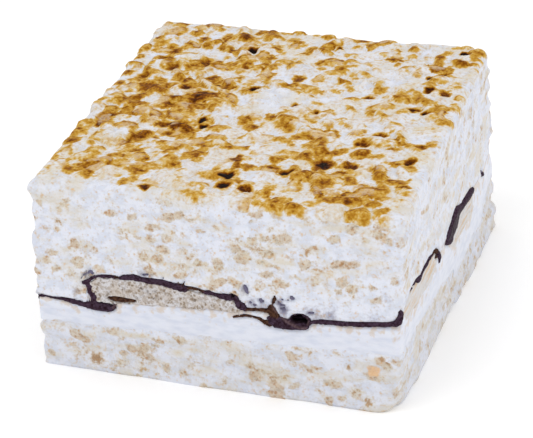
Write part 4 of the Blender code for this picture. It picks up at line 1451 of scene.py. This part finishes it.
class TREAT_OT_crackers(bpy.types.Operator):
    """Pieces of graham cracker under the chocolate"""

    bl_idname = "treat.crackers"
    bl_label = "Graham crackers"

    SET_BACK = 1.5 * MM

    # How much marshmallow is smeared over each cracker's cut; below 0 it is bare.
    SMEARS = (
        ("graham_cracker_front", -0.2),
        ("graham_cracker_right", 0.85),
        ("graham_cracker_right_back", 0.75),
        ("graham_cracker_left_back", 0.0),
    )

    def execute(self, context):
        """Give every cracker its crumb and model the crumb of its cuts."""
        shop = workshop()
        for number, (name, smear) in enumerate(self.SMEARS):
            self.body(shop, name)
            self.crumb(shop, name, smear, shop.seed + 400 + 10 * number)
        return {"FINISHED"}

    def body(self, shop, name):
        """Model the inside of one cracker, set back from the cuts."""
        bm = bmesh.new()
        bm.from_mesh(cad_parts[name].data)
        bmesh.ops.remove_doubles(bm, verts=bm.verts, dist=0.001 * MM)
        reach_x, reach_y = WIDTH / 2 - self.SET_BACK, DEPTH / 2 - self.SET_BACK
        for vert in bm.verts:
            vert.co.x = max(-reach_x, min(reach_x, vert.co.x))
            vert.co.y = max(-reach_y, min(reach_y, vert.co.y))
        mesh = finished_mesh(bm, name.replace("graham_cracker", "cracker_body"))
        none = np.zeros(len(mesh.vertices))
        add_values(mesh, pit=none, smear=none)
        to_piece(mesh, shop.crumb, name)

    def reach(self, name):
        """Places along the cuts that a cracker reaches, and its bottom and top there."""
        if name in CRACKER_SEATS:
            ends, seats = zip(*CRACKER_SEATS[name])
            places = np.arange(ends[0] + END_INSET, ends[-1] - END_INSET, PLACE_STEP)
            return places, np.interp(places, ends, seats), np.interp(places, *zip(*SEAM))
        places = np.arange(*HIDDEN_CRACKER, PLACE_STEP)
        low, high = node_span(name, drawn_in(round_the_block(places * MM), 1.2 * MM))
        found = ~np.isnan(low)
        return places[found], low[found] / MM, high[found] / MM

    def crumb(self, shop, name, smear, seed):
        """Model the porous crumb of one cracker's cut."""
        places, bottom, top = self.reach(name)
        bottom = bottom - 0.6 - 0.4 * (smear > 0.0)
        top = top + 0.5 * (smear > 0.0)
        start, end = places[0], places[-1]
        smooth = 0.6 * (smear > 0.0)

        def within(run, height, past_ends=0.0):
            level = np.minimum(
                height - np.interp(run, places, bottom), np.interp(run, places, top) - height
            )
            return np.minimum(level, np.minimum(run - start, end - run) + past_ends)

        def shape(run, height):
            spots = on_cut(run, height)
            rough = layered_noise(spots, 0.9 * MM, seed) * 0.55
            rough += lattice_noise(spots, 2.6 * MM, seed + 7) * 0.35
            rough *= 1.0 - smooth
            pits, grit = crumb_pits(spots, seed)
            over = within(run, height, 0.9) + rough
            out = -0.8 * MM + 0.95 * MM * ease(over, -0.1, 0.3 + smooth)
            out -= 0.9 * MM * ease(stroke_depth(run, height, BROWN_AND_SHADE_STROKES), -0.30, 0.15)
            return out - (0.55 * MM * pits + 0.25 * MM * grit) * (1.0 - smooth)

        mesh, run, height = cut_patch(
            name.replace("graham_cracker", "cracker_crumb"), start - 1.3, end + 1.3,
            bottom.min() - 0.6, top.max() + 0.6, shape,
        )
        pits, grit = crumb_pits(on_cut(run, height), seed)
        rim = 1.0 - ease(within(run, height), 0.2, 1.6)
        add_values(mesh, pit=0.9 * pits + 0.45 * grit, smear=smear + rim * 0.5 * (smear > 0.0))
        to_piece(mesh, shop.crumb, name)


class TREAT_OT_stage(bpy.types.Operator):
    """Pale floor, soft light and the camera"""

    bl_idname = "treat.stage"
    bl_label = "Stage"

    def execute(self, context):
        """Lay the floor, hang the lights and set the camera."""
        scene = context.scene
        bm = bmesh.new()
        bmesh.ops.create_grid(bm, x_segments=1, y_segments=1, size=FLOOR_HALF)
        mesh = finished_mesh(bm, "floor")
        finish = Finish("floor_finish")
        finish.set(
            Base_Color=(1.0, 1.0, 1.0), Roughness=0.9, Specular_Ior_Level=0.1,
            Emission_Color=(1.0, 1.0, 1.0), Emission_Strength=FLOOR_GLOW,
        )
        mesh.materials.append(finish.material)
        floor = bpy.data.objects.new("floor", mesh)
        scene.collection.objects.link(floor)

        world = bpy.data.worlds.new("soft_room")
        world.use_nodes = True
        sky = world.node_tree.nodes["Background"]
        sky.inputs["Color"].default_value = (1.0, 1.0, 1.0, 1.0)
        sky.inputs["Strength"].default_value = ROOM_LIGHT
        scene.world = world
        scene.view_settings.view_transform = "Standard"
        scene.view_settings.look = "None"
        for name, settings in LAMPS.items():
            add_lamp(scene, name, *settings)
        place_camera(scene)
        return {"FINISHED"}


def add_lamp(scene, name, spot, size, power, color):
    """A round soft lamp that faces the treat."""
    lamp = bpy.data.lights.new(name, "AREA")
    lamp.shape = "DISK"
    lamp.size = size
    lamp.energy = power
    lamp.color = color
    holder = bpy.data.objects.new(name, lamp)
    aim = Vector((0.0, 0.0, HEIGHT / 2)) - Vector(spot)
    turn = aim.to_track_quat("-Z", "Y").to_matrix().to_4x4()
    holder.matrix_world = Matrix.Translation(spot) @ turn
    scene.collection.objects.link(holder)


def place_camera(scene):
    """Put the camera at the photograph's angle."""
    heading, tilt, roll = CAMERA_HEADING, CAMERA_TILT, CAMERA_ROLL
    forward = Vector((
        math.sin(heading) * math.cos(tilt), math.cos(heading) * math.cos(tilt), -math.sin(tilt)
    ))
    right = Vector((math.cos(heading), -math.sin(heading), 0.0))
    up = right.cross(forward)
    side = right * math.cos(roll) + up * math.sin(roll)
    top = up * math.cos(roll) - right * math.sin(roll)
    lens = bpy.data.cameras.new("camera")
    lens.lens = CAMERA_LENS
    lens.sensor_width = 36.0
    lens.sensor_fit = "HORIZONTAL"
    lens.clip_start = 0.01
    lens.clip_end = 10.0
    holder = bpy.data.objects.new("camera", lens)
    turn = Matrix((side, top, -forward)).transposed().to_4x4()
    holder.matrix_world = Matrix.Translation(CAMERA_PLACE) @ turn
    scene.collection.objects.link(holder)
    scene.camera = holder


OPERATORS = (
    TREAT_OT_upper_block,
    TREAT_OT_lower_block,
    TREAT_OT_marshmallow,
    TREAT_OT_chocolate,
    TREAT_OT_crackers,
    TREAT_OT_stage,
)


class TREAT_PT_panel(bpy.types.Panel):
    """The treat's settings, and its pieces in the order they are made"""

    bl_idname = "TREAT_PT_panel"
    bl_label = "Crispy rice treat"
    bl_space_type = "VIEW_3D"
    bl_region_type = "UI"
    bl_category = "Treat"

    def draw(self, context):
        """List the settings and the operators."""
        for group in (context.scene.treat_sizes, context.scene.treat_colours):
            for key in group.__annotations__:
                self.layout.prop(group, key)
        for operator in OPERATORS:
            self.layout.operator(operator.bl_idname)


CLASSES = (TreatSizes, TreatColours) + OPERATORS + (TREAT_PT_panel,)


def register():
    """Register the classes and their settings."""
    for item in CLASSES:
        bpy.utils.register_class(item)
    bpy.types.Scene.treat_sizes = bpy.props.PointerProperty(type=TreatSizes)
    bpy.types.Scene.treat_colours = bpy.props.PointerProperty(type=TreatColours)


def unregister():
    """Take the settings and the classes away again."""
    del bpy.types.Scene.treat_colours
    del bpy.types.Scene.treat_sizes
    for item in reversed(CLASSES):
        bpy.utils.unregister_class(item)


def main():
    """Build the whole treat."""
    register()
    for operator in OPERATORS:
        group, name = operator.bl_idname.split(".")
        getattr(getattr(bpy.ops, group), name)()


if __name__ == "__main__":
    main()
